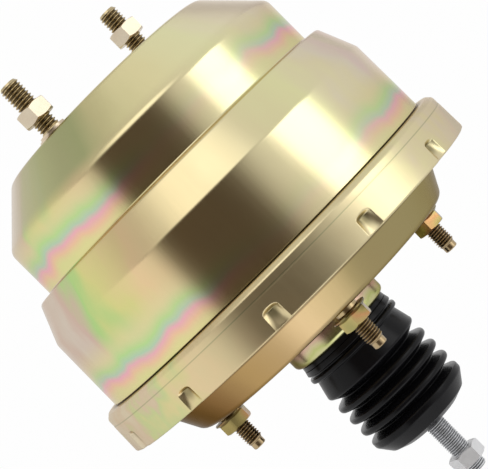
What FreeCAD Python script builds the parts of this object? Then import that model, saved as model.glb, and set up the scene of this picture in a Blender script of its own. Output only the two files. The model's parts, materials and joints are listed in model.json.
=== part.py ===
import FreeCAD, Part
import math
import os

from FreeCAD import Placement, Rotation, Vector

# Vacuum brake booster with two diaphragms, as an assembly of separate pieces.
# X runs along the push rod, towards the pedal. Z is up. Sizes are in millimetres.
# The origin is the middle of the rear mounting face, so the housing lies at negative X.

# Housing sheet
SHELL_WALL = 1.6
DIVIDER_WALL = 1.2
PLATE_WALL = 1.2

# Mounting square of the studs, which the housing's radii follow from, and its edges
MOUNT_SQUARE = 85.725
STUD_TO_DOME_EDGE = 11.883
EDGE = 0.5
OVERCUT = 1.0

# Front shell: how much each step changes the radius
BARREL_DRAFT = 0.5
SKIRT_RISE = 7.0
SKIRT_DRAFT = 0.5
CONE_DROP = 7.1
STEP_DROP = 6.5
NOSE_DROP = 21.2

# Front shell: how far each step lies ahead of the mounting face
FRONT_FACE_AHEAD = 134.3
NOSE_AHEAD = 112.7
STEP_AHEAD = 88.6
STEP_SLANT = 0.6
BARREL_AHEAD = 71.3
SHOULDER_AHEAD = 34.0
SHOULDER_SLANT = 1.3
SKIRT_EDGE_AHEAD = 14.8
PRESS_RADIUS = 5.0
SMALL_RADIUS = 1.5
STEP_RADIUS = 1.9
SHOULDER_RADIUS = 3.4
ROUNDING_SHARE = 0.95
LEAST_ROUNDING = 0.05
NEARLY_STRAIGHT_DEG = 89
TOUCHING = 1e-6

# Lock lances pressed into the skirt
LANCE_COUNT = 12
LANCE_R = 4.7
LANCE_TIP_R = 1.7
LANCE_LIFT = 1.2
LANCE_SLIT = 0.35

# Rear shell
RIM_GAP = 0.5
RIM_FLANGE = 8.8
DOME_STEP = 7.7
DOME_STEP_SLANT = 1.2
DOME_DROP = 8.4
DOME_EDGE_AHEAD = 16.2
DOME_RADIUS = 9.0
DOME_STEP_RADIUS = 2.5
RIM_STEP_SLANT = 1.6
HUB_FOOT_RADIUS = 1.2
HUB_R = 26.2
HUB_LENGTH = 11.5
HUB_LIP = 5.2

# Studs and nuts
REAR_STUD_R = 4.0
REAR_STUD_OUT = 21.7
REAR_STUD_COLLAR_R = 5.25
REAR_STUD_COLLAR = 2.3
REAR_STUD_DOG_R = 2.85
REAR_STUD_DOG = 2.7
DOG_CHAMFER = 0.4
REAR_HEAD_R = 6.8
REAR_HEAD = 3.2
FLANGE_NUT_FLATS = 13.0
FLANGE_NUT_FLANGE_R = 8.4
FLANGE_NUT_FLANGE = 1.5
FLANGE_NUT_HEIGHT = 6.9
FLANGE_NUT_EDGE = 0.2
FLANGE_NUT_CONE = 0.6
FLANGE_NUT_SINK = 0.4
NUT_FACE_SHARE = 0.98
NUT_CHAMFER_DEG = 30
FLANGE_NUT_TURN = 30
FRONT_STUD_R = 4.7625
FRONT_STUD_OUT = 28.8
FRONT_COLLAR_R = 7.85
FRONT_COLLAR = 1.3
FRONT_COLLAR_STEP_R = 6.6
FRONT_COLLAR_STEP = 1.0
FRONT_HEAD_R = 8.0
FRONT_HEAD = 3.2
FRONT_NUT_FLATS = 14.29
FRONT_NUT_HEIGHT = 7.2
FRONT_NUT_OUT = (8.6, 12.0)
FRONT_NUT_TURN = 142
THREAD_DEPTH = 0.4
THREAD_GAP = 0.05
STUD_HOLE_R_OVER = 0.3
COLLAR_HOLE_R_OVER = 0.15
STUD_PRESS_OVER = 0.25
HEAD_SLOPE = 0.6
STUD_CHAMFER = 1.0

# Reinforcement plates
FRONT_PLATE_WALL = 3.0
FRONT_PLATE_INSET = 6.7
REAR_PLATE_WALL = 2.5
REAR_PLATE_INSET = 6.5
REAR_PLATE_BORE_OVER = 1.8

# Rubber seals: how the lip stands clear of what it seals, and how long it tapers
SEAL_RELIEF = 1.0
SEAL_TAPER = 1.5

# Front opening, its seal and the vacuum port
PILOT_R = 21.5
FRONT_SEAL_R = 20.0
FRONT_SEAL_LENGTH = 5.0
SEAL_CUP_DEPTH = 9.5
SEAL_CUP_FLANGE_R = 25.0
SEAL_CUP_BORE_OVER = 4.0
SEAL_GROOVE_FROM = 4.5
SEAL_GROOVE_TO = 9.0
SEAL_GROOVE = 2.4
PORT_INSET = 8.86
PORT_Z = 25.0
PORT_R = 6.4
GROMMET_WALL = 1.8
GROMMET_LIP_R = 11.5
GROMMET_LIP = 2.4
GROMMET_INSIDE = 4.0
GROMMET_FLANGE = 1.2
GROMMET_NOSE_WALL = 2.2
GROMMET_ROOM = 0.6

# Housing divider and the beads of the diaphragms
BEAD_LENGTH = 5.0
BEAD_HEIGHT = 5.6
BEAD_GAP = 0.6
BEAD_SLOPE = 1.5
DIVIDER_AHEAD = 60.0
DIVIDER_PLAY = 0.2
DIVIDER_EDGE_GAP = 0.8
DIVIDER_SEAL_WALL = 4.4
DIVIDER_SEAL_LIP = 1.6
DIVIDER_SEAL_FLANGE = 2.4
DIVIDER_SEAL_CLEAR = 0.8
DIVIDER_COLLAR = 7.0
DIVIDER_DISH_INSET = 6.4
DIVIDER_DISH = 2.0
DIVIDER_POCKET_INSET = 0.8
BARREL_GAP = 1.4
RUBBER = 1.2
FOLD_DEPTH = 1.5

# Valve body
NECK_UNDER_MOUTH = 2.5
NECK_CHAMFER = 0.8
NECK_OUT = 42.0
NECK_BORE_R = 15.0
CHAMBER_AHEAD = 4.0
TUBE_R = 26.0
TUBE_CHAMFER = 1.0
TUBE_FRONT_AHEAD = 68.0
TUBE_REAR_AHEAD = 14.0
SPIGOT_R = 19.5
BODY_FRONT_AHEAD = 74.4
DISC_R = 14.0
DISC_LENGTH = 5.9
DISC_AHEAD = 58.1
NOSE_BORE_R = 7.0
NOSE_BORE_END_AHEAD = 26.0
PLUNGER_BORE_R = 9.1
VALVE_SEAT_R = 11.8
VALVE_SEAT_FOOT = 0.8
VALVE_SEAT_TOP = 0.3
VALVE_SEAT_HEIGHT = 1.2

# Hub parts
SLIDE_GAP = 0.06
PART_GAP = 0.3
SEAT_GAP = 0.05
DISC_GAP = 0.1
HUB_SEAL_LENGTH = 5.8
HUB_SEAL_AHEAD = 2.6
HUB_SEAL_CHAMFER = 1.6
BEARING_LENGTH = 3.2
SEAL_RING_LENGTH = 1.4
SEAL_RING_STEP = 1.2

# Plates and diaphragms
PRIMARY_PLATE_ROOM = 5.8
PRIMARY_PLATE_DROP = 16.0
PRIMARY_PLATE_CONE = 9.5
PRIMARY_PLATE_RIM = 6.0
SECONDARY_PLATE_ROOM = 6.3
SECONDARY_PLATE_RIM = 9.5
INNER_BEAD = 2.6
INNER_BEAD_R = 23.5
LOCK_RING = 1.5
LOCK_RING_HEIGHT = 5.0

# Output side
OUTPUT_R = 5.0
OUTPUT_HEAD = 5.0
OUTPUT_ROD_AHEAD = 128.0
OUTPUT_TIP_OUT = 8.5
OUTPUT_TIP_R = 4.6
OUTPUT_SCREW_R = 2.9
OUTPUT_SCREW = 14.0
OUTPUT_SCREW_ROOM = 0.5
OUTPUT_TIP_ROUNDING = 3.2
RETAINER_BORE_OVER = 2.0

# Plunger, key and push rod
PLUNGER_NOSE_GAP = 0.4
PLUNGER_REAR_AHEAD = 2.0
PLUNGER_STEP_GAP = 0.6
GROOVE_R = 5.4
GROOVE_PLAY = 0.4
KEY_AHEAD = 19.6
KEY_WALL = 2.2
KEY_WIDTH = 15.4
KEY_DROP = 7.5
KEY_TOP_INSET = 0.9
KEY_PLAY = 0.1
KEY_SIDE_PLAY = 0.2
VALVE_LEAD = 1.7
BALL_R = 5.5
BALL_AHEAD = 8.0
SOCKET_LIP = 0.9
SOCKET_CHAMFER = 0.8
SOCKET_MOUTH = 1.5
ROD_NECK_R = 3.6
ROD_NECK_OUT = 4.0
ROD_NECK_TAPER = 1.0
ROD_SHANK_R = 4.0
ROD_R = 4.7625
ROD_THREAD_FROM = 29.0
ROD_OUT = 97.5
ROD_CHAMFER = 0.8
ROD_THREAD_EDGE = 0.3
JAM_NUT_BACK = 11.1
JAM_NUT_HEIGHT = 7.1
JAM_NUT_FLATS = 14.29
JAM_NUT_TURN = 112

# Valve rubber, springs and filters
POPPET_FACE_AHEAD = 1.7
POPPET_R = 14.0
POPPET_BORE_R = 6.6
POPPET_LENGTH = 10.0
POPPET_FACE = 2.0
POPPET_LIP = 1.0
POPPET_WAIST = 3.0
POPPET_SKIN = 1.0
POPPET_BEAD = 2.0
POPPET_BEAD_LENGTH = 2.8
RETAINER_WALL = 1.0
RETAINER_LENGTH = 3.2
RETAINER_LIP = 3.2
RETURN_WIRE_R = 1.7
RETURN_FRONT_R = 27.2
RETURN_REAR_R = 22.0
RETURN_TURNS = 4.5
POPPET_WIRE_R = 0.6
POPPET_SPRING_REAR_R = 10.4
POPPET_SPRING_FRONT_R = 7.8
ROD_WIRE_R = 0.8
ROD_SPRING_FRONT_R = 12.6
ROD_SPRING_REAR_R = 7.4
ROD_SPRING_TURNS = 4
POPPET_TURNS = 3
WIRE_SIDES = 8
SPRING_SEAT_R = 9.0
SPRING_SEAT = 1.4
SILENCER_FROM = 32.5
SILENCER_LENGTH = 3.5
FILTER_LENGTH = 5.0
FILTER_BORE_R = 7.2

# Boot
BOOT_WALL = 1.1
BOOT_COLLAR_OVER_MOUTH = 3.2
BOOT_COLLAR = 7.0
BOOT_BEAD_RISE = 0.8
BOOT_NECK_DROP = 1.1
BOOT_GROOVE = 1.0
BOOT_BEAD = 1.6
BOOT_TIP_OVER_MOUTH = 4.2
BOOT_LOBE_FROM = 11.6
BOOT_LOBE_TO = 8.6
BOOT_CONE_FROM = 3.6
BOOT_CONE_DROP = 3.4
BOOT_END_DROP = 7.8
BOOT_LIP_DROP = 0.6
BOOT_VALLEY_OVER_NECK = 2.2
BOOT_FOLDS = 3
BOOT_FOLD_PITCH = 7.0
BOOT_FIRST_VALLEY = 33.3
BOOT_END = 68.0
BOOT_LIP_OVER_MOUTH = 1.2

STUD_CIRCLE_R = MOUNT_SQUARE / math.sqrt(2)
DOME_FACE_R = STUD_CIRCLE_R + STUD_TO_DOME_EDGE
DOME_EDGE_R = DOME_FACE_R + DOME_DROP
RIM_STEP_R = DOME_EDGE_R + DOME_STEP
RIM_R = RIM_STEP_R + RIM_FLANGE
SKIRT_R = RIM_R + RIM_GAP + SHELL_WALL
BARREL_REAR_R = SKIRT_R - SKIRT_RISE
BARREL_FRONT_R = BARREL_REAR_R - BARREL_DRAFT
BARREL_INNER_R = BARREL_FRONT_R - SHELL_WALL
STEP_R = BARREL_FRONT_R - CONE_DROP
NOSE_R = STEP_R - STEP_DROP
FRONT_FACE_R = NOSE_R - NOSE_DROP
FRONT_PLATE_R = FRONT_FACE_R - FRONT_PLATE_INSET
REAR_PLATE_R = DOME_FACE_R - REAR_PLATE_INSET
DIVIDER_R = BARREL_INNER_R - BARREL_GAP
DIVIDER_POCKET_R = NOSE_R - DIVIDER_POCKET_INSET
DIVIDER_DISH_R = NOSE_R - DIVIDER_DISH_INSET
PRIMARY_PLATE_R = DIVIDER_R - DIVIDER_WALL - PRIMARY_PLATE_ROOM
PRIMARY_PLATE_FLAT_R = PRIMARY_PLATE_R - PRIMARY_PLATE_DROP
SECONDARY_PLATE_R = NOSE_R - SHELL_WALL - SECONDARY_PLATE_ROOM
DIVIDER_COLLAR_R = TUBE_R + DIVIDER_SEAL_WALL
HUB_INNER_R = HUB_R - SHELL_WALL
HUB_MOUTH_R = HUB_R - HUB_LIP
NECK_R = HUB_MOUTH_R - NECK_UNDER_MOUTH
BOOT_COLLAR_R = HUB_MOUTH_R + BOOT_COLLAR_OVER_MOUTH
BOOT_BEAD_R = BOOT_COLLAR_R + BOOT_BEAD_RISE
BOOT_NECK_R = BOOT_COLLAR_R - BOOT_NECK_DROP
BOOT_TIP_R = HUB_MOUTH_R + BOOT_TIP_OVER_MOUTH
BOOT_VALLEY_R = NECK_R + BOOT_VALLEY_OVER_NECK
BOOT_LIP_R = HUB_MOUTH_R + BOOT_LIP_OVER_MOUTH
REAR_PLATE_BORE_R = HUB_R + REAR_PLATE_BORE_OVER
FRONT_STUD_SPACING = MOUNT_SQUARE
PORT_Y = FRONT_STUD_SPACING / 2 - PORT_INSET

FRONT_X = -FRONT_FACE_AHEAD
SEAT_X = -SHOULDER_AHEAD + SHELL_WALL + DIVIDER_PLAY
RIM_FRONT_X = SEAT_X + DIVIDER_WALL + BEAD_LENGTH + 2 * SEAT_GAP
RIM_X = RIM_FRONT_X + SHELL_WALL
LANCE_X = RIM_X + 2 * SEAT_GAP
POCKET_X = -STEP_AHEAD + SHELL_WALL
FRONT_PLATE_X = FRONT_X + SHELL_WALL + SEAT_GAP
FRONT_PLATE_REAR_X = FRONT_PLATE_X + FRONT_PLATE_WALL
REAR_PLATE_FRONT_X = -SHELL_WALL - SEAT_GAP - REAR_PLATE_WALL
PLUNGER_REAR_X = -PLUNGER_REAR_AHEAD
JAM_NUT_FROM = ROD_OUT - JAM_NUT_BACK


def edge_points(before, at, after, radius, room):
    """The sharp corner itself, or where its rounding arc starts, passes and ends."""
    back = before - at
    ahead = after - at
    back.normalize()
    ahead.normalize()
    half = back.getAngle(ahead) / 2
    radius = min(radius, room * math.tan(half))
    if radius < LEAST_ROUNDING or half > math.radians(NEARLY_STRAIGHT_DEG):
        return [at]
    middle = back + ahead
    middle.normalize()
    reach = radius / math.tan(half)
    return [at + back * reach, at + middle * (radius / math.sin(half) - radius), at + ahead * reach]


def closed_wire(points):
    """A closed outline of straight runs and rounded corners from (x, r) or (x, r, rounding)."""
    places = [Vector(p[0], 0, p[1]) for p in points]
    radii = [p[2] if len(p) > 2 else 0 for p in points]
    count = len(points)
    runs = [places[i].distanceToPoint(places[i - 1]) for i in range(count)]
    corners = []
    for i in range(count):
        k = (i + 1) % count
        room_back = runs[i] / 2 if radii[i - 1] else runs[i]
        room_ahead = runs[k] / 2 if radii[k] else runs[k]
        room = ROUNDING_SHARE * min(room_back, room_ahead)
        corners.append(edge_points(places[i - 1], places[i], places[k], radii[i], room))
    edges = []
    for i in range(count):
        here = corners[i]
        following = corners[(i + 1) % count]
        if len(here) == 3:
            edges.append(Part.Arc(*here).toShape())
        if here[-1].distanceToPoint(following[0]) > TOUCHING:
            edges.append(Part.LineSegment(here[-1], following[0]).toShape())
    return Part.Wire(edges)


def turned(points):
    """A solid turned about the X axis from a closed outline in the (x, r) half plane."""
    face = Part.Face(closed_wire(points))
    return face.revolve(Vector(0, 0, 0), Vector(1, 0, 0), 360)


def beside(line, wall):
    """The same line moved by the wall to its right, with its roundings kept concentric."""
    count = len(line)
    runs = []
    for i in range(count - 1):
        dx = line[i + 1][0] - line[i][0]
        dr = line[i + 1][1] - line[i][1]
        length = math.hypot(dx, dr)
        runs.append((dx / length, dr / length))
    moved = []
    for i in range(count):
        before = runs[max(i - 1, 0)]
        after = runs[min(i, count - 2)]
        bend = 1 + before[0] * after[0] + before[1] * after[1]
        x = line[i][0] + wall * (before[1] + after[1]) / bend
        r = line[i][1] - wall * (before[0] + after[0]) / bend
        radius = line[i][2] if len(line[i]) > 2 else 0
        to_right = before[0] * after[1] - before[1] * after[0] < 0
        moved.append((x, r, max(radius - wall if to_right else radius + wall, 0) if radius else 0))
    return moved


def pressed(line, wall):
    """A turned sheet: its outer line, and the wall to the right of the way it runs."""
    return turned(list(line) + beside(line, wall)[::-1])


def ring(x0, x1, bore_r, outer_r):
    return turned([(x0, bore_r), (x0, outer_r), (x1, outer_r), (x1, bore_r)])


def along_x(shape, x, y, z):
    """A piece turned about the X axis, moved to its own axis at (y, z)."""
    moved = shape.copy()
    moved.translate(Vector(x, y, z))
    return moved


def rod_hole(x0, x1, radius, y=0, z=0):
    return Part.makeCylinder(radius, x1 - x0, Vector(x0, y, z), Vector(1, 0, 0))


def hexagon(x0, height, flats, turn_deg):
    """A hexagonal bar along X whose corner points at turn_deg above +Y."""
    corner_r = flats / math.sqrt(3)
    points = []
    for i in range(7):
        angle = math.radians(turn_deg + 60 * i)
        points.append(Vector(x0, corner_r * math.cos(angle), corner_r * math.sin(angle)))
    return Part.Face(Part.makePolygon(points)).extrude(Vector(height, 0, 0))


def hex_nut(x0, height, flats, bore_r, turn_deg):
    """A nut with its corners chamfered at both ends."""
    corner_r = flats / math.sqrt(3)
    flat_r = flats / 2 * NUT_FACE_SHARE
    outside_r = corner_r + EDGE
    slope = (outside_r - flat_r) * math.tan(math.radians(NUT_CHAMFER_DEG))
    chamfer = turned([
        (x0, bore_r),
        (x0, flat_r),
        (x0 + slope, outside_r),
        (x0 + height - slope, outside_r),
        (x0 + height, flat_r),
        (x0 + height, bore_r),
    ])
    return hexagon(x0, height, flats, turn_deg).common(chamfer)


def rear_stud_places():
    half = MOUNT_SQUARE / 2
    return [(y, z) for y in (-half, half) for z in (-half, half)]


def front_stud_places():
    half = FRONT_STUD_SPACING / 2
    return [(-half, 0), (half, 0)]


def spring(x_wide, x_narrow, wide_r, narrow_r, turns, wire_r):
    """A cone-shaped coil spring whose wide and narrow ends touch the two planes."""
    length = abs(x_wide - x_narrow) - 2 * wire_r
    way = 1 if x_wide > x_narrow else -1
    cone = math.degrees(math.atan2(wide_r - narrow_r, length))
    helix = Part.makeHelix(length / turns, length, narrow_r, cone)
    path = Part.Wire(helix.Edges)
    section = []
    for i in range(WIRE_SIDES + 1):
        angle = 2 * math.pi * i / WIRE_SIDES
        section.append(Vector(narrow_r + wire_r * math.cos(angle), 0, wire_r * math.sin(angle)))
    coil = path.makePipeShell([Part.makePolygon(section)], True, True)
    coil.Placement = Placement(Vector(x_narrow + way * wire_r, 0, 0), Rotation(Vector(0, 1, 0), 90 * way))
    return coil


def front_shell_line():
    return [
        (FRONT_X, PILOT_R),
        (FRONT_X, FRONT_FACE_R, PRESS_RADIUS),
        (-NOSE_AHEAD, NOSE_R, PRESS_RADIUS),
        (-STEP_AHEAD - STEP_SLANT, NOSE_R, SMALL_RADIUS),
        (-STEP_AHEAD, STEP_R, STEP_RADIUS),
        (-BARREL_AHEAD, BARREL_FRONT_R, PRESS_RADIUS),
        (-SHOULDER_AHEAD - SHOULDER_SLANT, BARREL_REAR_R, SMALL_RADIUS),
        (-SHOULDER_AHEAD, SKIRT_R, SHOULDER_RADIUS),
        (-SKIRT_EDGE_AHEAD, SKIRT_R + SKIRT_DRAFT),
    ]


def lance_cone(x0, x1, wall):
    """A cone along the top of the skirt, wide at its front, with its axis outside and its seam below."""
    place = Vector(x0, 0, SKIRT_R + LANCE_LIFT)
    cone = Part.makeCone(LANCE_R + wall, LANCE_TIP_R + wall, x1 - x0, place, Vector(1, 0, 0))
    cone.rotate(place, Vector(1, 0, 0), 180)
    return cone


def lance_forms():
    """The metal pushed in by one lance and the scoop it leaves, both at the top of the skirt."""
    edge_x = -SKIRT_EDGE_AHEAD
    scoop = lance_cone(LANCE_X - LANCE_SLIT, edge_x + LANCE_SLIT, 0)
    metal = lance_cone(LANCE_X, edge_x, SHELL_WALL)
    inside = rod_hole(LANCE_X - OVERCUT, 0, SKIRT_R - SHELL_WALL / 2)
    return metal.common(inside), scoop


def front_shell():
    """Stepped front pressing with the skirt, its lances and the holes in the flat front."""
    shell = pressed(front_shell_line(), SHELL_WALL)
    metal, scoop = lance_forms()
    for i in range(LANCE_COUNT):
        metal_here = metal.copy()
        metal_here.rotate(Vector(0, 0, 0), Vector(1, 0, 0), 360 / LANCE_COUNT * i)
        shell = shell.fuse(metal_here)
    for i in range(LANCE_COUNT):
        scoop_here = scoop.copy()
        scoop_here.rotate(Vector(0, 0, 0), Vector(1, 0, 0), 360 / LANCE_COUNT * i)
        shell = shell.cut(scoop_here)
    outside = FRONT_X - OVERCUT
    collar_hole_r = FRONT_COLLAR_R + COLLAR_HOLE_R_OVER
    for y, z in front_stud_places():
        shell = shell.cut(rod_hole(outside, FRONT_PLATE_X, collar_hole_r, y, z))
    port_hole_r = PORT_R + GROMMET_WALL + SEAT_GAP
    return shell.cut(rod_hole(outside, FRONT_PLATE_X, port_hole_r, PORT_Y, PORT_Z))


def rear_shell_line():
    return [
        (RIM_X, RIM_R),
        (RIM_X, RIM_STEP_R + RIM_STEP_SLANT, STEP_RADIUS),
        (-DOME_EDGE_AHEAD - DOME_STEP_SLANT, RIM_STEP_R, DOME_STEP_RADIUS),
        (-DOME_EDGE_AHEAD, DOME_EDGE_R, DOME_STEP_RADIUS),
        (0, DOME_FACE_R, DOME_RADIUS),
        (0, HUB_R, HUB_FOOT_RADIUS),
        (HUB_LENGTH, HUB_R, PRESS_RADIUS),
        (HUB_LENGTH, HUB_MOUTH_R),
    ]


def rear_shell():
    """Dome that closes the skirt, with the flat mounting face and the hub."""
    shell = pressed(rear_shell_line(), SHELL_WALL)
    hole_r = REAR_STUD_COLLAR_R + COLLAR_HOLE_R_OVER
    for y, z in rear_stud_places():
        shell = shell.cut(rod_hole(-2 * SHELL_WALL, OVERCUT, hole_r, y, z))
    return shell


def front_reinforcement():
    """Plate behind the flat front that the studs and the seal cup seat on."""
    plate = ring(FRONT_PLATE_X, FRONT_PLATE_REAR_X, PILOT_R, FRONT_PLATE_R)
    inside = FRONT_PLATE_REAR_X + OVERCUT
    for y, z in front_stud_places():
        plate = plate.cut(rod_hole(FRONT_X, inside, FRONT_STUD_R + STUD_HOLE_R_OVER, y, z))
    return plate.cut(rod_hole(FRONT_X, inside, GROMMET_LIP_R + GROMMET_ROOM, PORT_Y, PORT_Z))


def rear_reinforcement():
    """Ring behind the mounting face that carries the four studs."""
    rear_x = REAR_PLATE_FRONT_X + REAR_PLATE_WALL
    plate = ring(REAR_PLATE_FRONT_X, rear_x, REAR_PLATE_BORE_R, REAR_PLATE_R)
    for y, z in rear_stud_places():
        hole = rod_hole(REAR_PLATE_FRONT_X - OVERCUT, 0, REAR_STUD_R + STUD_HOLE_R_OVER, y, z)
        plate = plate.cut(hole)
    return plate


def front_stud(y, z, nut_out):
    """Stud for the master cylinder: head inside, stepped collar through the shell, thread."""
    tip = FRONT_X - FRONT_STUD_OUT
    nut_rear = FRONT_X - nut_out
    nut_front = nut_rear - FRONT_NUT_HEIGHT
    core = FRONT_STUD_R - THREAD_DEPTH
    collar = FRONT_PLATE_X - SEAT_GAP
    step = FRONT_X - FRONT_COLLAR
    head = FRONT_PLATE_REAR_X + SEAT_GAP
    stud = turned([
        (tip, 0),
        (tip, FRONT_STUD_R - STUD_CHAMFER),
        (tip + STUD_CHAMFER, FRONT_STUD_R),
        (nut_front, FRONT_STUD_R),
        (nut_front, core),
        (nut_rear, core),
        (nut_rear, FRONT_STUD_R),
        (step - FRONT_COLLAR_STEP, FRONT_STUD_R),
        (step - FRONT_COLLAR_STEP, FRONT_COLLAR_STEP_R),
        (step, FRONT_COLLAR_STEP_R),
        (step, FRONT_COLLAR_R),
        (collar, FRONT_COLLAR_R),
        (collar, FRONT_STUD_R + STUD_PRESS_OVER),
        (head, FRONT_STUD_R + STUD_PRESS_OVER),
        (head, FRONT_HEAD_R),
        (head + FRONT_HEAD, FRONT_HEAD_R - HEAD_SLOPE),
        (head + FRONT_HEAD, 0),
    ])
    return along_x(stud, 0, y, z)


def front_studs():
    places = front_stud_places()
    studs = [front_stud(y, z, out) for (y, z), out in zip(places, FRONT_NUT_OUT)]
    return Part.makeCompound(studs)


def front_stud_nuts():
    nuts = []
    for (y, z), out in zip(front_stud_places(), FRONT_NUT_OUT):
        bore = FRONT_STUD_R - THREAD_DEPTH + THREAD_GAP
        x0 = FRONT_X - out - FRONT_NUT_HEIGHT + THREAD_GAP
        nut = hex_nut(x0, FRONT_NUT_HEIGHT - 2 * THREAD_GAP, FRONT_NUT_FLATS, bore, FRONT_NUT_TURN)
        nuts.append(along_x(nut, 0, y, z))
    return Part.makeCompound(nuts)


def rear_stud(y, z):
    """Mounting stud: collar through the shell, thread, and a dog point at the tip."""
    tip = REAR_STUD_OUT
    thread_end = tip - REAR_STUD_DOG
    nut_end = REAR_STUD_COLLAR + FLANGE_NUT_HEIGHT
    core = REAR_STUD_R - THREAD_DEPTH
    head = REAR_PLATE_FRONT_X - SEAT_GAP
    collar = REAR_PLATE_FRONT_X + REAR_PLATE_WALL + SEAT_GAP
    stud = turned([
        (tip, 0),
        (tip, REAR_STUD_DOG_R - DOG_CHAMFER),
        (tip - DOG_CHAMFER, REAR_STUD_DOG_R),
        (thread_end, REAR_STUD_DOG_R),
        (thread_end - STUD_CHAMFER, REAR_STUD_R),
        (nut_end, REAR_STUD_R),
        (nut_end, core),
        (REAR_STUD_COLLAR, core),
        (REAR_STUD_COLLAR, REAR_STUD_COLLAR_R),
        (collar, REAR_STUD_COLLAR_R),
        (collar, REAR_STUD_R),
        (head, REAR_STUD_R),
        (head, REAR_HEAD_R),
        (head - REAR_HEAD, REAR_HEAD_R - HEAD_SLOPE),
        (head - REAR_HEAD, 0),
    ])
    return along_x(stud, 0, y, z)


def rear_studs():
    return Part.makeCompound([rear_stud(y, z) for y, z in rear_stud_places()])


def flange_nut(y, z):
    """Hex nut with a conical flange at its foot."""
    x0 = REAR_STUD_COLLAR + THREAD_GAP
    x1 = REAR_STUD_COLLAR + FLANGE_NUT_HEIGHT - THREAD_GAP
    bore = REAR_STUD_R - THREAD_DEPTH + THREAD_GAP
    cone_end = x0 + FLANGE_NUT_FLANGE + FLANGE_NUT_CONE
    flange = turned([
        (x0, bore),
        (x0, FLANGE_NUT_FLANGE_R - FLANGE_NUT_EDGE),
        (x0 + FLANGE_NUT_EDGE, FLANGE_NUT_FLANGE_R),
        (x0 + FLANGE_NUT_FLANGE / 2, FLANGE_NUT_FLANGE_R),
        (cone_end, FLANGE_NUT_FLATS / 2 - FLANGE_NUT_EDGE),
        (cone_end, bore),
    ])
    head_x = x0 + FLANGE_NUT_SINK
    head = hex_nut(head_x, x1 - head_x, FLANGE_NUT_FLATS, bore, FLANGE_NUT_TURN)
    return along_x(flange.fuse(head), 0, y, z)


def rear_flange_nuts():
    return Part.makeCompound([flange_nut(y, z) for y, z in rear_stud_places()])


def cone_r(x, inset):
    """Radius at x of the cone between step and barrel, moved into the shell by the inset."""
    slope = CONE_DROP / (STEP_AHEAD - BARREL_AHEAD)
    return STEP_R + slope * (x + STEP_AHEAD) - inset * math.hypot(1, slope)


def divider_line():
    pocket_x = POCKET_X + BEAD_LENGTH + SEAT_GAP
    return [
        (-DIVIDER_AHEAD + DIVIDER_COLLAR, DIVIDER_COLLAR_R),
        (-DIVIDER_AHEAD, DIVIDER_COLLAR_R),
        (-DIVIDER_AHEAD - DIVIDER_DISH, DIVIDER_DISH_R),
        (pocket_x, DIVIDER_POCKET_R),
        (pocket_x, cone_r(pocket_x, SHELL_WALL + BARREL_GAP)),
        (-BARREL_AHEAD, DIVIDER_R),
        (SEAT_X, DIVIDER_R),
        (SEAT_X, RIM_R - DIVIDER_EDGE_GAP),
    ]


def housing_divider():
    """Dish between the two chambers, clamped at the skirt and at the step of the shell."""
    return pressed(divider_line(), DIVIDER_WALL)


def divider_seal():
    """Sliding seal in the divider's collar, round the valve body's tube."""
    bore = TUBE_R + SLIDE_GAP
    x0 = -DIVIDER_AHEAD
    x1 = x0 + DIVIDER_COLLAR
    outer = DIVIDER_COLLAR_R - SEAT_GAP
    flange_r = outer + DIVIDER_SEAL_FLANGE
    body_r = outer - DIVIDER_SEAL_CLEAR
    return turned([
        (x0 - DIVIDER_SEAL_LIP, bore + SEAL_RELIEF),
        (x0 - DIVIDER_SEAL_LIP, flange_r),
        (x0 - PART_GAP, flange_r),
        (x0 - PART_GAP, body_r),
        (x1, body_r),
        (x1, bore + SEAL_RELIEF),
        (x1 - SEAL_TAPER, bore),
        (x0 + SEAL_RELIEF, bore),
    ])


def front_seal_retainer():
    """Cup behind the pilot hole that holds the front seal."""
    x0 = FRONT_PLATE_REAR_X + SEAT_GAP
    x1 = x0 + SEAL_CUP_DEPTH
    cup = FRONT_SEAL_R + SEAT_GAP
    bore = OUTPUT_R + SEAL_CUP_BORE_OVER
    return turned([
        (x0, cup),
        (x0, SEAL_CUP_FLANGE_R),
        (x0 + PLATE_WALL, SEAL_CUP_FLANGE_R),
        (x0 + PLATE_WALL, cup + PLATE_WALL),
        (x1, cup + PLATE_WALL),
        (x1, bore),
        (x1 - PLATE_WALL, bore),
        (x1 - PLATE_WALL, cup),
    ])


def front_seal():
    """Rubber seal with a lip on the output rod."""
    x1 = FRONT_PLATE_REAR_X + SEAL_CUP_DEPTH - PLATE_WALL
    x0 = x1 - FRONT_SEAL_LENGTH
    bore = OUTPUT_R + SLIDE_GAP
    return turned([
        (x0, bore + SEAL_RELIEF),
        (x0, bore + SEAL_GROOVE_FROM),
        (x0 + SEAL_GROOVE, bore + (SEAL_GROOVE_FROM + SEAL_GROOVE_TO) / 2),
        (x0, bore + SEAL_GROOVE_TO),
        (x0, FRONT_SEAL_R),
        (x1, FRONT_SEAL_R),
        (x1, bore + SEAL_RELIEF),
        (x1 - SEAL_TAPER, bore),
        (x0 + SEAL_TAPER, bore),
    ])


def vacuum_grommet():
    """Grommet in the flat front for the vacuum check valve, with its bore open."""
    x0 = FRONT_X - SEAT_GAP - GROMMET_LIP
    groove_r = PORT_R + GROMMET_WALL
    inside = FRONT_X + SHELL_WALL + SEAT_GAP
    end = inside + GROMMET_INSIDE
    grommet = turned([
        (x0, PORT_R),
        (x0, GROMMET_LIP_R - EDGE),
        (x0 + EDGE, GROMMET_LIP_R),
        (FRONT_X - SEAT_GAP, GROMMET_LIP_R),
        (FRONT_X - SEAT_GAP, groove_r),
        (inside, groove_r),
        (inside, GROMMET_LIP_R),
        (inside + GROMMET_FLANGE, GROMMET_LIP_R),
        (end, PORT_R + GROMMET_NOSE_WALL),
        (end, PORT_R),
    ])
    return along_x(grommet, 0, PORT_Y, PORT_Z)


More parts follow.
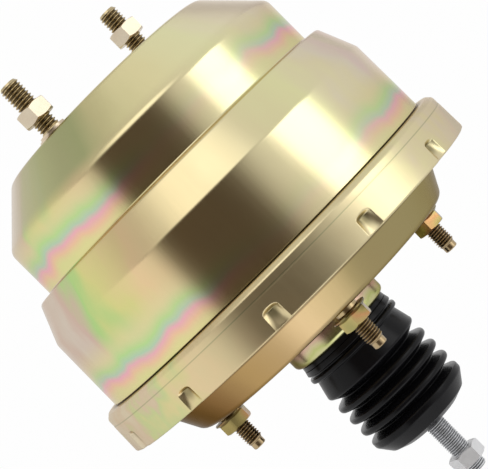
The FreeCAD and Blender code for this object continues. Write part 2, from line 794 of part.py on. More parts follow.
def hub_seal():
    """Rubber seal in the hub with a lip on the valve body's neck."""
    x0 = -HUB_SEAL_AHEAD
    x1 = x0 + HUB_SEAL_LENGTH
    bore = NECK_R + SLIDE_GAP
    outer = HUB_INNER_R - SEAT_GAP
    return turned([
        (x0, bore + SEAL_RELIEF),
        (x0, outer - HUB_SEAL_CHAMFER),
        (x0 + HUB_SEAL_CHAMFER, outer),
        (x1, outer),
        (x1, bore + SEAL_RELIEF),
        (x1 - SEAL_TAPER, bore),
        (x0 + SEAL_RELIEF, bore),
    ])


def hub_bearing():
    x0 = -HUB_SEAL_AHEAD + HUB_SEAL_LENGTH + SEAT_GAP
    return ring(x0, x0 + BEARING_LENGTH, NECK_R + SLIDE_GAP, HUB_INNER_R - SEAT_GAP)


def hub_seal_retainer():
    """Pressed ring that keeps the seal in the hub."""
    x1 = -HUB_SEAL_AHEAD - SEAT_GAP
    x0 = x1 - SEAL_RING_LENGTH
    return turned([
        (x0, NECK_R + SEAL_RING_STEP),
        (x0, REAR_PLATE_BORE_R - EDGE),
        (x0 + PLATE_WALL, REAR_PLATE_BORE_R - EDGE),
        (x1, HUB_INNER_R - SEAL_RING_STEP),
        (x1, NECK_R + SEAL_RING_STEP),
    ])


def return_spring():
    x0 = FRONT_PLATE_REAR_X + SEAT_GAP
    x1 = -TUBE_FRONT_AHEAD - INNER_BEAD - PLATE_WALL - LOCK_RING - 2 * SEAT_GAP
    return spring(x0, x1, RETURN_FRONT_R, RETURN_REAR_R, RETURN_TURNS, RETURN_WIRE_R)


def valve_body():
    """Moulded power piston: front recess, sealing tube, plate seats, neck and valve chamber."""
    plate_seat = -TUBE_REAR_AHEAD
    recess_r = DISC_R + DISC_GAP
    chamber = -CHAMBER_AHEAD
    body = turned([
        (-BODY_FRONT_AHEAD, recess_r),
        (-BODY_FRONT_AHEAD, SPIGOT_R - EDGE),
        (-BODY_FRONT_AHEAD + EDGE, SPIGOT_R),
        (-TUBE_FRONT_AHEAD, SPIGOT_R),
        (-TUBE_FRONT_AHEAD, TUBE_R - TUBE_CHAMFER),
        (-TUBE_FRONT_AHEAD + TUBE_CHAMFER, TUBE_R),
        (plate_seat, TUBE_R),
        (plate_seat, NECK_R),
        (NECK_OUT - NECK_CHAMFER, NECK_R),
        (NECK_OUT, NECK_R - NECK_CHAMFER),
        (NECK_OUT, NECK_BORE_R),
        (chamber, NECK_BORE_R),
        (chamber, VALVE_SEAT_R + VALVE_SEAT_FOOT),
        (chamber + VALVE_SEAT_HEIGHT, VALVE_SEAT_R + VALVE_SEAT_TOP),
        (chamber + VALVE_SEAT_HEIGHT, VALVE_SEAT_R - VALVE_SEAT_TOP),
        (chamber, VALVE_SEAT_R - VALVE_SEAT_FOOT),
        (chamber, PLUNGER_BORE_R),
        (-NOSE_BORE_END_AHEAD, PLUNGER_BORE_R),
        (-NOSE_BORE_END_AHEAD, NOSE_BORE_R),
        (-DISC_AHEAD, NOSE_BORE_R),
        (-DISC_AHEAD, recess_r),
    ])
    half = KEY_WIDTH / 2 + KEY_SIDE_PLAY
    corner = Vector(-KEY_AHEAD - KEY_PLAY, -half, -KEY_DROP)
    slot = Part.makeBox(KEY_WALL + 2 * KEY_PLAY, 2 * half, TUBE_R + KEY_DROP + OVERCUT, corner)
    return body.cut(slot)


def valve_key():
    """Forked key through the valve body that keeps the plunger in place."""
    foot = -KEY_DROP + KEY_SIDE_PLAY
    corner = Vector(-KEY_AHEAD, -KEY_WIDTH / 2, foot)
    plate = Part.makeBox(KEY_WALL, KEY_WIDTH, TUBE_R - KEY_TOP_INSET - foot, corner)
    gap = GROOVE_R + KEY_SIDE_PLAY
    x0 = -KEY_AHEAD - OVERCUT
    x1 = -KEY_AHEAD + KEY_WALL + OVERCUT
    fork = rod_hole(x0, x1, gap)
    open_side = Part.makeBox(x1 - x0, 2 * gap, KEY_DROP, Vector(x0, -gap, -KEY_DROP))
    return plate.cut(fork.fuse(open_side))


def primary_plate_line():
    x = -TUBE_REAR_AHEAD + SEAT_GAP + PLATE_WALL
    return [
        (x - PRIMARY_PLATE_CONE - PRIMARY_PLATE_RIM, PRIMARY_PLATE_R),
        (x - PRIMARY_PLATE_CONE, PRIMARY_PLATE_R),
        (x, PRIMARY_PLATE_FLAT_R),
        (x, NECK_R + SEAT_GAP),
    ]


def secondary_plate_line():
    x = -TUBE_FRONT_AHEAD - INNER_BEAD
    return [
        (x - SECONDARY_PLATE_RIM, SECONDARY_PLATE_R),
        (x, SECONDARY_PLATE_R),
        (x, SPIGOT_R + SEAT_GAP),
    ]


def primary_plate():
    return pressed(primary_plate_line(), PLATE_WALL)


def secondary_plate():
    return pressed(secondary_plate_line(), PLATE_WALL)


def plate_lock_ring():
    x1 = -TUBE_FRONT_AHEAD - INNER_BEAD - PLATE_WALL - SEAT_GAP
    return ring(x1 - LOCK_RING, x1, SPIGOT_R + SEAT_GAP, SPIGOT_R + LOCK_RING_HEIGHT)


def primary_diaphragm():
    """Rubber sheet behind the primary plate, rolled once and ending in the clamped bead."""
    plate_x = -TUBE_REAR_AHEAD + 2 * SEAT_GAP + PLATE_WALL
    cone_x = plate_x - PRIMARY_PLATE_CONE
    bead_x0 = SEAT_X + DIVIDER_WALL + SEAT_GAP
    bead_x1 = bead_x0 + BEAD_LENGTH
    bead_r1 = RIM_R - BEAD_GAP
    bead_r0 = bead_r1 - BEAD_HEIGHT
    wall_r = DIVIDER_R - DIVIDER_WALL - PART_GAP
    rim_r = PRIMARY_PLATE_R + SEAT_GAP
    fold_x = cone_x - PRIMARY_PLATE_RIM
    middle = (bead_x0 + bead_x1) / 2
    return turned([
        (plate_x, NECK_R + SEAT_GAP),
        (plate_x, PRIMARY_PLATE_FLAT_R),
        (cone_x, rim_r),
        (fold_x, rim_r),
        (fold_x - FOLD_DEPTH, (rim_r + wall_r) / 2),
        (fold_x, wall_r),
        (middle - RUBBER / 2, wall_r),
        (middle - RUBBER / 2, bead_r0),
        (bead_x0, bead_r0),
        (bead_x0, bead_r1),
        (bead_x1, bead_r1),
        (bead_x1, bead_r0),
        (middle + RUBBER / 2, bead_r0),
        (middle + RUBBER / 2, wall_r - RUBBER),
        (fold_x + RUBBER, wall_r - RUBBER),
        (fold_x + RUBBER, rim_r + RUBBER),
        (cone_x + RUBBER, rim_r + RUBBER / 2),
        (plate_x + RUBBER, PRIMARY_PLATE_FLAT_R + RUBBER / 2),
        (plate_x + RUBBER, INNER_BEAD_R + BEAD_SLOPE),
        (plate_x + INNER_BEAD, INNER_BEAD_R),
        (plate_x + INNER_BEAD, NECK_R + SEAT_GAP),
    ])


def secondary_diaphragm():
    """Rubber sheet behind the secondary plate, its bead clamped at the step of the shell."""
    plate_x = -TUBE_FRONT_AHEAD - INNER_BEAD + SEAT_GAP
    bead_x0 = POCKET_X + SEAT_GAP
    bead_x1 = POCKET_X + BEAD_LENGTH
    bead_r0 = NOSE_R - SHELL_WALL + RUBBER
    bead_r1 = STEP_R - SHELL_WALL - BEAD_GAP
    rim_r = SECONDARY_PLATE_R + SEAT_GAP
    wall_r = NOSE_R - SHELL_WALL - PART_GAP
    fold_x = plate_x - SECONDARY_PLATE_RIM
    middle = (bead_x0 + bead_x1) / 2
    return turned([
        (plate_x, SPIGOT_R + SEAT_GAP),
        (plate_x, rim_r),
        (fold_x, rim_r),
        (middle - FOLD_DEPTH, (rim_r + wall_r) / 2 - RUBBER),
        (middle - RUBBER / 2, wall_r - RUBBER),
        (middle - RUBBER / 2, bead_r0),
        (bead_x0, bead_r0),
        (bead_x0, bead_r1),
        (bead_x1, bead_r1),
        (bead_x1, bead_r0),
        (middle + RUBBER / 2, bead_r0),
        (middle + RUBBER / 2, wall_r - 2 * RUBBER),
        (fold_x + RUBBER, rim_r + RUBBER),
        (plate_x + RUBBER, rim_r + RUBBER),
        (plate_x + RUBBER, INNER_BEAD_R + BEAD_SLOPE),
        (plate_x + INNER_BEAD - 2 * SEAT_GAP, INNER_BEAD_R),
        (plate_x + INNER_BEAD - 2 * SEAT_GAP, SPIGOT_R + SEAT_GAP),
    ])


def reaction_disc():
    """Rubber disc between the valve body, the plunger's nose and the output rod."""
    x1 = -DISC_AHEAD - SEAT_GAP
    x0 = x1 - DISC_LENGTH
    return turned([(x0, 0), (x0, DISC_R - EDGE), (x0 + EDGE, DISC_R), (x1, DISC_R), (x1, 0)])


def output_rod():
    """Rod to the master cylinder, with a head on the reaction disc and a bore for its tip."""
    head_x1 = -DISC_AHEAD - 2 * SEAT_GAP - DISC_LENGTH
    head_x0 = head_x1 - OUTPUT_HEAD
    front = -OUTPUT_ROD_AHEAD
    bore_end = front + OUTPUT_SCREW + OUTPUT_SCREW_ROOM
    return turned([
        (front, OUTPUT_SCREW_R + SEAT_GAP),
        (front, OUTPUT_R - EDGE),
        (front + EDGE, OUTPUT_R),
        (head_x0, OUTPUT_R, SMALL_RADIUS),
        (head_x0, DISC_R - DISC_GAP),
        (head_x1, DISC_R - DISC_GAP),
        (head_x1, 0),
        (bore_end, 0),
        (bore_end, OUTPUT_SCREW_R + SEAT_GAP),
    ])


def output_rod_tip():
    """Screw-in tip with a rounded end."""
    front = -OUTPUT_ROD_AHEAD
    return turned([
        (front - OUTPUT_TIP_OUT, 0),
        (front - OUTPUT_TIP_OUT, OUTPUT_TIP_R, OUTPUT_TIP_ROUNDING),
        (front - SEAT_GAP, OUTPUT_TIP_R),
        (front - SEAT_GAP, OUTPUT_SCREW_R),
        (front + OUTPUT_SCREW, OUTPUT_SCREW_R),
        (front + OUTPUT_SCREW, 0),
    ])


def output_rod_retainer():
    x1 = -DISC_AHEAD - 3 * SEAT_GAP - DISC_LENGTH - OUTPUT_HEAD
    return ring(x1 - PLATE_WALL, x1, OUTPUT_R + RETAINER_BORE_OVER, DISC_R + SEAT_GAP)


def air_valve():
    """Plunger: nose behind the reaction disc, key groove, ball socket and seat lip."""
    nose_x = -DISC_AHEAD + VALVE_LEAD + PLUNGER_NOSE_GAP
    nose_r = NOSE_BORE_R - SLIDE_GAP
    groove_x0 = -KEY_AHEAD - GROOVE_PLAY
    groove_x1 = -KEY_AHEAD + KEY_WALL + VALVE_LEAD + GROOVE_PLAY
    body_x0 = -NOSE_BORE_END_AHEAD + VALVE_LEAD + PLUNGER_STEP_GAP
    rear = PLUNGER_REAR_X
    ball_x = -BALL_AHEAD
    mouth_r = BALL_R - SOCKET_LIP
    body_r = PLUNGER_BORE_R - SLIDE_GAP
    plunger = turned([
        (nose_x, 0),
        (nose_x, nose_r - EDGE),
        (nose_x + EDGE, nose_r),
        (body_x0, nose_r),
        (body_x0, body_r),
        (groove_x0, body_r),
        (groove_x0, GROOVE_R),
        (groove_x1, GROOVE_R),
        (groove_x1, body_r),
        (rear, body_r),
        (rear, mouth_r + SOCKET_CHAMFER),
        (rear - SOCKET_MOUTH, mouth_r),
        (ball_x, mouth_r),
        (ball_x, 0),
    ])
    return plunger.cut(Part.makeSphere(BALL_R + SEAT_GAP, Vector(ball_x, 0, 0)))


def push_rod():
    """Input rod: ball end, neck, shank and the threaded outer part."""
    thread_core = ROD_R - THREAD_DEPTH
    nut_x1 = JAM_NUT_FROM + JAM_NUT_HEIGHT
    neck_x = PLUNGER_REAR_X + ROD_NECK_OUT
    rod = turned([
        (-BALL_AHEAD, 0),
        (-BALL_AHEAD, ROD_NECK_R),
        (neck_x, ROD_NECK_R),
        (neck_x + ROD_NECK_TAPER, ROD_SHANK_R),
        (ROD_THREAD_FROM, ROD_SHANK_R),
        (ROD_THREAD_FROM, ROD_R - ROD_THREAD_EDGE),
        (ROD_THREAD_FROM + ROD_THREAD_EDGE, ROD_R),
        (JAM_NUT_FROM, ROD_R),
        (JAM_NUT_FROM, thread_core),
        (nut_x1, thread_core),
        (nut_x1, ROD_R),
        (ROD_OUT - ROD_CHAMFER, ROD_R),
        (ROD_OUT, ROD_R - ROD_CHAMFER),
        (ROD_OUT, 0),
    ])
    return rod.fuse(Part.makeSphere(BALL_R, Vector(-BALL_AHEAD, 0, 0)))


def rod_jam_nut():
    bore = ROD_R - THREAD_DEPTH + THREAD_GAP
    height = JAM_NUT_HEIGHT - 2 * THREAD_GAP
    return hex_nut(JAM_NUT_FROM + THREAD_GAP, height, JAM_NUT_FLATS, bore, JAM_NUT_TURN)


def rod_spring_seat():
    x1 = ROD_THREAD_FROM - SEAT_GAP
    return ring(x1 - SPRING_SEAT, x1, ROD_SHANK_R + SEAT_GAP, SPRING_SEAT_R)


def poppet_valve():
    """Rubber valve ring: flat face, thin folded wall and the bead held by the retainer."""
    face = -POPPET_FACE_AHEAD
    back = face + POPPET_FACE
    end = face + POPPET_LENGTH
    waist_r = POPPET_R - POPPET_WAIST
    waist_x = (back + end - POPPET_BEAD_LENGTH) / 2
    bead_r = NECK_BORE_R - DISC_GAP
    return turned([
        (face, POPPET_BORE_R),
        (face, POPPET_R - POPPET_LIP),
        ((face + back) / 2, POPPET_R - POPPET_LIP / 2),
        (back, POPPET_R - POPPET_LIP),
        (back, waist_r),
        (waist_x, waist_r),
        (end - POPPET_BEAD_LENGTH, bead_r),
        (end, bead_r),
        (end, bead_r - POPPET_BEAD),
        (end - POPPET_BEAD_LENGTH, bead_r - POPPET_BEAD),
        (waist_x, waist_r - POPPET_SKIN),
        (back, waist_r - POPPET_SKIN),
        (back, POPPET_BORE_R),
    ])


def poppet_retainer():
    x0 = -POPPET_FACE_AHEAD + POPPET_LENGTH + SEAT_GAP
    outer_r = NECK_BORE_R - SEAT_GAP
    lip_r = POPPET_BORE_R + RETAINER_LIP
    return turned([
        (x0, lip_r),
        (x0, outer_r),
        (x0 + RETAINER_LENGTH, outer_r),
        (x0 + RETAINER_LENGTH, outer_r - RETAINER_WALL),
        (x0 + RETAINER_WALL, outer_r - RETAINER_WALL),
        (x0 + RETAINER_WALL, lip_r),
    ])


def poppet_spring():
    x0 = -POPPET_FACE_AHEAD + POPPET_FACE + SEAT_GAP
    x1 = -POPPET_FACE_AHEAD + POPPET_LENGTH - SEAT_GAP
    rear_r = POPPET_SPRING_REAR_R
    return spring(x1, x0, rear_r, POPPET_SPRING_FRONT_R, POPPET_TURNS, POPPET_WIRE_R)


def rod_return_spring():
    x0 = -POPPET_FACE_AHEAD + POPPET_LENGTH + RETAINER_WALL + 2 * SEAT_GAP
    x1 = ROD_THREAD_FROM - SPRING_SEAT - 2 * SEAT_GAP
    return spring(x0, x1, ROD_SPRING_FRONT_R, ROD_SPRING_REAR_R, ROD_SPRING_TURNS, ROD_WIRE_R)


def air_silencer():
    return ring(SILENCER_FROM, SILENCER_FROM + SILENCER_LENGTH, FILTER_BORE_R, NECK_BORE_R - DISC_GAP)


def air_filter():
    x0 = SILENCER_FROM + SILENCER_LENGTH + SEAT_GAP
    return ring(x0, x0 + FILTER_LENGTH, FILTER_BORE_R, NECK_BORE_R - DISC_GAP)


def boot_line():
    """Outer line of the boot from its rear lip on the rod to the collar on the hub."""
    collar_x = HUB_LENGTH + SEAT_GAP
    collar_end = collar_x + BOOT_COLLAR
    line = [
        (BOOT_END, ROD_R + SEAT_GAP),
        (BOOT_END, BOOT_TIP_R - BOOT_END_DROP, SMALL_RADIUS),
        (BOOT_END - BOOT_CONE_FROM, BOOT_TIP_R - BOOT_CONE_DROP, SMALL_RADIUS),
        (BOOT_END - BOOT_LOBE_TO, BOOT_TIP_R, SMALL_RADIUS),
        (BOOT_END - BOOT_LOBE_FROM, BOOT_TIP_R, SMALL_RADIUS),
    ]
    for i in reversed(range(BOOT_FOLDS + 1)):
        valley = BOOT_FIRST_VALLEY + BOOT_FOLD_PITCH * i
        line.append((valley, BOOT_VALLEY_R))
        line.append((valley - BOOT_FOLD_PITCH / 2, BOOT_TIP_R))
    line += [
        (collar_end + BOOT_GROOVE + BOOT_BEAD, BOOT_NECK_R),
        (collar_end + BOOT_GROOVE, BOOT_BEAD_R),
        (collar_end, BOOT_COLLAR_R),
        (collar_x, BOOT_COLLAR_R),
    ]
    return line


def boot():
    """Rubber bellows, snapped into the hub's mouth and tight on the rod."""
    collar_x = HUB_LENGTH + SEAT_GAP
    outer = boot_line()
    inner_x = HUB_LENGTH - SHELL_WALL - PART_GAP
    inside_r = HUB_MOUTH_R - BOOT_WALL - SEAT_GAP
    lip_x = -HUB_SEAL_AHEAD + HUB_SEAL_LENGTH + 2 * SEAT_GAP + BEARING_LENGTH
    mouth = [
        (collar_x, HUB_MOUTH_R - SEAT_GAP),
        (inner_x, HUB_MOUTH_R - SEAT_GAP),
        (inner_x, BOOT_LIP_R),
        (lip_x, HUB_MOUTH_R - BOOT_LIP_DROP),
        (lip_x, inside_r),
        (collar_x + BOOT_COLLAR, inside_r),
    ]
    wall_line = beside(outer[:-3][::-1], BOOT_WALL)
    wall_line[-1] = (BOOT_END - BOOT_WALL, ROD_R + SEAT_GAP)
    return turned(outer + mouth + wall_line)


PIECES = {
    "front_shell": front_shell,
    "rear_shell": rear_shell,
    "front_reinforcement": front_reinforcement,
    "rear_reinforcement": rear_reinforcement,
    "front_studs": front_studs,
    "front_stud_nuts": front_stud_nuts,
    "rear_studs": rear_studs,
    "rear_flange_nuts": rear_flange_nuts,
    "housing_divider": housing_divider,
    "divider_seal": divider_seal,
    "front_seal_retainer": front_seal_retainer,
    "front_seal": front_seal,
    "vacuum_grommet": vacuum_grommet,
    "hub_seal": hub_seal,
    "hub_bearing": hub_bearing,
    "hub_seal_retainer": hub_seal_retainer,
    "return_spring": return_spring,
    "valve_body": valve_body,
    "valve_key": valve_key,
    "primary_plate": primary_plate,
    "secondary_plate": secondary_plate,
    "plate_lock_ring": plate_lock_ring,
    "primary_diaphragm": primary_diaphragm,
    "secondary_diaphragm": secondary_diaphragm,
    "reaction_disc": reaction_disc,
    "output_rod": output_rod,
    "output_rod_tip": output_rod_tip,
    "output_rod_retainer": output_rod_retainer,
    "air_valve": air_valve,
    "push_rod": push_rod,
    "rod_jam_nut": rod_jam_nut,
    "rod_spring_seat": rod_spring_seat,
    "poppet_valve": poppet_valve,
    "poppet_retainer": poppet_retainer,
    "poppet_spring": poppet_spring,
    "rod_return_spring": rod_return_spring,
    "air_silencer": air_silencer,
    "air_filter": air_filter,
    "boot": boot,
}

os.makedirs("parts", exist_ok=True)
for name, make in PIECES.items():
    shape = make()
    shape.exportStep(f"parts/{name}.step")
    print(name, shape.isValid(), len(shape.Solids), round(shape.Volume, 1))
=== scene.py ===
import json
import math

import bmesh
import bpy
from mathutils import Matrix, Vector


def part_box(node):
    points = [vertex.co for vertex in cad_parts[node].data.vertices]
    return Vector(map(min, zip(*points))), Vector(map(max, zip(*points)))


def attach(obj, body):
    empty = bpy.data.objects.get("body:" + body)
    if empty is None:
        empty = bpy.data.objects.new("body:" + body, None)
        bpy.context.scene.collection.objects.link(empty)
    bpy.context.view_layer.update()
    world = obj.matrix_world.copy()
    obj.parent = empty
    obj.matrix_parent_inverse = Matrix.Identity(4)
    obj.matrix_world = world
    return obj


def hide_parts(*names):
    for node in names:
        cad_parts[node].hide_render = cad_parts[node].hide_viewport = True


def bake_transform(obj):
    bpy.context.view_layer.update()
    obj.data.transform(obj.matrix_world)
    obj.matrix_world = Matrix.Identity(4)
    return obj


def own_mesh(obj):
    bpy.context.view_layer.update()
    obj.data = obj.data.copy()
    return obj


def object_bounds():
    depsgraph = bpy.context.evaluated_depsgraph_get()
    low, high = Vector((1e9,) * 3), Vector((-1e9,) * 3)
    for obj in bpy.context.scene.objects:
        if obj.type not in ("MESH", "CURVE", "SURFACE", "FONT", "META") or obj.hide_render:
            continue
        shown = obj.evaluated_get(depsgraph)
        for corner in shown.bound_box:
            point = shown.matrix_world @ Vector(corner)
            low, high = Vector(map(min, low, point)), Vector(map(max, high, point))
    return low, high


# Looks of a vacuum brake booster. The CAD frame gives most rigid forms, and the sheets of the
# two shells, the threads, the rubber and the springs are made here.
# Lengths are in metres, written as millimetres times MM.
MM = 0.001
TAU = 2 * math.pi

# Threads: pitch, depth, and how each tooth is shared between crest and root
REAR_PITCH = 1.25 * MM
FRONT_PITCH = 1.5875 * MM
ROD_PITCH = 1.0583 * MM
THREAD_DEPTH_SHARE = 0.58
CREST_SHARE = 0.14
ROOT_SHARE = 0.22
STEPS_PER_PITCH = 12

# Meshes: points nearer than this are merged, and edges sharper than these degrees stay sharp
MERGE_NEAR = 0.002 * MM
SHARP_SOLID = 35
SHARP_SHEET = 40
REAR_STUD_TURNS = 40
FRONT_STUD_TURNS = 44
ROD_TURNS = 40
BOOT_TURNS = 96
RING_TURNS = 120
PLATE_TURNS = 180
BODY_TURNS = 240
DOME_TURNS = 360

# Mounting studs on the rear face
MOUNT_HALF = 42.8625 * MM
REAR_STUD_R = 4.0 * MM
REAR_STUD_OUT = 21.7 * MM
REAR_COLLAR = 2.3 * MM
REAR_COLLAR_R = 5.25 * MM
REAR_NUT_END = 9.2 * MM
REAR_DOG_R = 3.1 * MM
REAR_DOG = 2.7 * MM
REAR_HEAD_FROM = -7.4 * MM
REAR_HEAD = 3.2 * MM
REAR_HEAD_R = 6.8 * MM
REAR_PLATE_REAR = -1.6 * MM

# Studs for the master cylinder
FRONT_FACE = -134.3 * MM
FRONT_STUD_R = 4.7625 * MM
FRONT_STUD_OUT = 28.8 * MM
FRONT_COLLAR_R = 7.85 * MM
FRONT_COLLAR = 1.3 * MM
FRONT_COLLAR_STEP_R = 6.6 * MM
FRONT_COLLAR_STEP = 1.0 * MM
FRONT_PLATE_FRONT = -132.7 * MM
FRONT_HEAD_FROM = -129.6 * MM
FRONT_HEAD = 3.2 * MM
FRONT_HEAD_R = 8.0 * MM
FRONT_NUT_HEIGHT = 7.2 * MM
FRONT_NUT_OUT = (8.6 * MM, 12.0 * MM)
CORE_DROP = 0.4 * MM
CHAMFER = 1.0 * MM

# Push rod
BALL_X = -8.0 * MM
BALL_R = 5.5 * MM
NECK_R = 3.6 * MM
SHANK_R = 4.0 * MM
SHANK_FROM = 3.0 * MM
ROD_R = 4.7625 * MM
THREAD_FROM = 29.0 * MM
JAM_NUT_FROM = 86.4 * MM
JAM_NUT_HEIGHT = 7.1 * MM
ROD_END = 97.5 * MM

# Boot
BOOT_WALL = 1.1 * MM
BOOT_FROM = 11.6 * MM
BOOT_SPLIT = 56.4 * MM
BOOT_TIP_R = 25.7 * MM
BOOT_VALLEY_R = 20.2 * MM
BOOT_VALLEYS = (33.3 * MM, 40.3 * MM, 47.2 * MM, 54.2 * MM)
BOOT_END = 68.0 * MM
BOOT_COLLAR = (
    (BOOT_FROM, 23.0 * MM),
    (BOOT_FROM, 24.0 * MM, 0.4 * MM),
    (13.6 * MM, 24.3 * MM),
    (13.8 * MM, 24.0 * MM),
    (14.0 * MM, 24.4 * MM),
    (16.5 * MM, 25.0 * MM, 0.5 * MM),
    (16.8 * MM, 23.2 * MM, 0.3 * MM),
    (17.7 * MM, 23.2 * MM, 0.3 * MM),
    (17.9 * MM, 25.4 * MM, 0.8 * MM),
    (20.0 * MM, 25.4 * MM, 0.8 * MM),
    (20.6 * MM, 23.4 * MM, 0.4 * MM),
    (30.0 * MM, BOOT_TIP_R, 1.5 * MM),
)
BOOT_LOBE = (
    (BOOT_SPLIT + 1.5 * MM, BOOT_TIP_R),
    (59.4 * MM, BOOT_TIP_R, 2.0 * MM),
    (65.3 * MM, 21.3 * MM, 1.2 * MM),
    (BOOT_END - 0.5 * MM, 16.0 * MM, 1.5 * MM),
    (BOOT_END, 12.0 * MM, 1.0 * MM),
    (BOOT_END, ROD_R + 0.1 * MM),
)

# Front shell: outer line from the pilot hole to the skirt's edge
SHEET = 1.6 * MM
PLATE_R = 53.0 * MM
PILOT_R = 21.5 * MM
PORT_HOLE_R = 8.25 * MM
PORT_PLACE = (34.0 * MM, 25.0 * MM)
COLLAR_HOLE_OVER = 0.15 * MM
FRONT_LINE = (
    (-134.3 * MM, PLATE_R),
    (-134.3 * MM, 57.2 * MM, 5.0 * MM),
    (-112.7 * MM, 78.4 * MM, 5.0 * MM),
    (-89.2 * MM, 78.4 * MM, 0.9 * MM),
    (-88.6 * MM, 84.9 * MM, 1.9 * MM),
    (-71.3 * MM, 92.0 * MM, 5.0 * MM),
    (-35.5 * MM, 92.5 * MM, 0.2 * MM),
    (-35.2 * MM, 92.0 * MM),
    (-34.95 * MM, 92.2 * MM),
    (-34.8 * MM, 97.3 * MM, 0.9 * MM),
    (-32.8 * MM, 99.4 * MM, 1.8 * MM),
    (-30.1 * MM, 99.485 * MM),
    (-29.95 * MM, 99.49 * MM),
    (-29.5 * MM, 99.44 * MM),
    (-28.75 * MM, 99.61 * MM),
    (-28.6 * MM, 99.62 * MM),
    (-15.5 * MM, 100.0 * MM),
)
SKIRT_EDGE = ((-15.1 * MM, 99.85 * MM), (-14.8 * MM, 99.3 * MM))

# Lances in the skirt: pressed in behind a rounded front wall, and shallow and wide at the edge
LANCES = 12
LANCE_FROM = -24.4 * MM
LANCE_TO = -14.8 * MM
LANCE_WALL = 2.0 * MM
LANCE_HALF = (3.9 * MM, 4.5 * MM)
LANCE_DEPTH = (2.6 * MM, 0.8 * MM)
LANCE_POWER = 2.4
LANCE_STEP = 0.3 * MM

# The skirt's mesh starts at the seam. Its turns are close across each lance, with a margin,
# and wider between the lances.
SKIRT_SEAM = -24.7 * MM
LANCE_TURNS = 40
LANCE_MARGIN = 1.04
SKIRT_TURNS = 26

# Rear shell: outer line from its rim over the dome to the hub's mouth
REAR_PLATE_R = 66.6 * MM
REAR_FOOT_R = 28.5 * MM
DOME_LINE = (
    (-24.3 * MM, 97.4 * MM),
    (-24.3 * MM, 90.2 * MM, 1.9 * MM),
    (-17.4 * MM, 88.6 * MM, 2.5 * MM),
    (-16.2 * MM, 80.9 * MM, 2.5 * MM),
    (0, 72.5 * MM, 9.0 * MM),
    (0, REAR_PLATE_R),
)
HUB_LINE = (
    (0, REAR_FOOT_R),
    (0, 26.2 * MM, 1.2 * MM),
    (11.5 * MM, 26.2 * MM, 5.0 * MM),
    (11.5 * MM, 21.0 * MM),
)

# Sections of the moulded rubber seals: corners as (x, r), their rounding, all in millimetres,
# and the centre
SEALS = {
    "vacuum_grommet": ([
        (-136.75, 6.4), (-136.75, 11.5), (-134.35, 11.5), (-134.35, 8.2), (-132.65, 8.2),
        (-132.65, 11.5), (-131.45, 11.5), (-128.65, 8.6), (-128.65, 6.4),
    ], 0.9, PORT_PLACE),
    "front_seal": ([
        (-126.35, 6.06), (-126.35, 9.56), (-123.95, 11.81), (-126.35, 14.06), (-126.35, 20.0),
        (-121.35, 20.0), (-121.35, 6.06), (-122.85, 5.06), (-124.85, 5.06),
    ], 0.5, (0, 0)),
    "hub_seal": ([
        (-2.6, 19.56), (-2.6, 22.95), (-1.0, 24.55), (3.2, 24.55), (3.2, 19.56), (1.7, 18.56),
        (-1.6, 18.56),
    ], 0.4, (0, 0)),
    "divider_seal": ([
        (-61.6, 27.06), (-61.6, 32.75), (-60.3, 32.75), (-60.3, 29.55), (-53.0, 29.55),
        (-53.0, 27.06), (-54.5, 26.06), (-59.0, 26.06),
    ], 0.4, (0, 0)),
}

# Sections of the diaphragms, and the x from which they leave the housing and join the piston
DIAPHRAGM_ROUNDING = 0.5
DIAPHRAGMS = {
    "primary_diaphragm": ([
        (-12.7, 18.55), (-12.7, 66.0), (-22.2, 82.05), (-28.2, 82.05), (-29.7, 84.77),
        (-28.2, 87.5), (-29.05, 87.5), (-29.05, 91.2), (-30.95, 91.2), (-30.95, 96.8),
        (-25.95, 96.8), (-25.95, 91.2), (-27.85, 91.2), (-27.85, 86.3), (-27.0, 86.3),
        (-27.0, 83.25), (-21.0, 82.65), (-11.5, 66.6), (-11.5, 25.0), (-10.1, 23.5),
        (-10.1, 18.55),
    ], -25.5, -22.5),
    "secondary_diaphragm": ([
        (-70.55, 19.55), (-70.55, 70.55), (-80.05, 70.55), (-85.97, 72.32), (-85.07, 75.3),
        (-85.07, 78.0), (-86.95, 78.0), (-86.95, 82.7), (-82.0, 82.7), (-82.0, 78.0),
        (-83.88, 78.0), (-83.88, 74.1), (-78.85, 71.75), (-69.35, 71.75), (-69.35, 25.0),
        (-68.05, 23.5), (-68.05, 19.55),
    ], -80.0, -76.0),
}

# Springs: radii of the wire's centre line at both ends, turns and the wire's own radius
RETURN_COIL = (27.2 * MM, 22.0 * MM, 5.4, 1.7 * MM)
ROD_COIL = (12.6 * MM, 7.4 * MM, 5, 0.8 * MM)
COIL_AROUND = 12
COIL_STEPS = 48
COIL_FLAT = 0.7

# The photograph's camera: its tilt, its place and the point on the axis it looks at
CAMERA_TILT = math.radians(38)
CAMERA_PLACE = Vector((-67.0, -632.0, 493.8)) * MM
CAMERA_AIM = Vector((-48.0, -0.35, -0.45)) * MM
CAMERA_LENS = 135.2
CAMERA_SENSOR = 36
CAMERA_CLIP = 10 * MM

# Floor: where it is lit in reflections along X, and how much less under the part's rear half. Both
# are painted: a glow in reflections that fades towards -X, and a painted shadow under the part
FLOOR_DROP = 200 * MM
FLOOR_HALF = 4.0
FLOOR_WHITE = 0.97
FLOOR_LIT = (-0.70, -0.18)
UNDER_X = (-0.02, 0.03)
UNDER_Y = (-0.10, 0.02)
UNDER_SHARE = 0.85

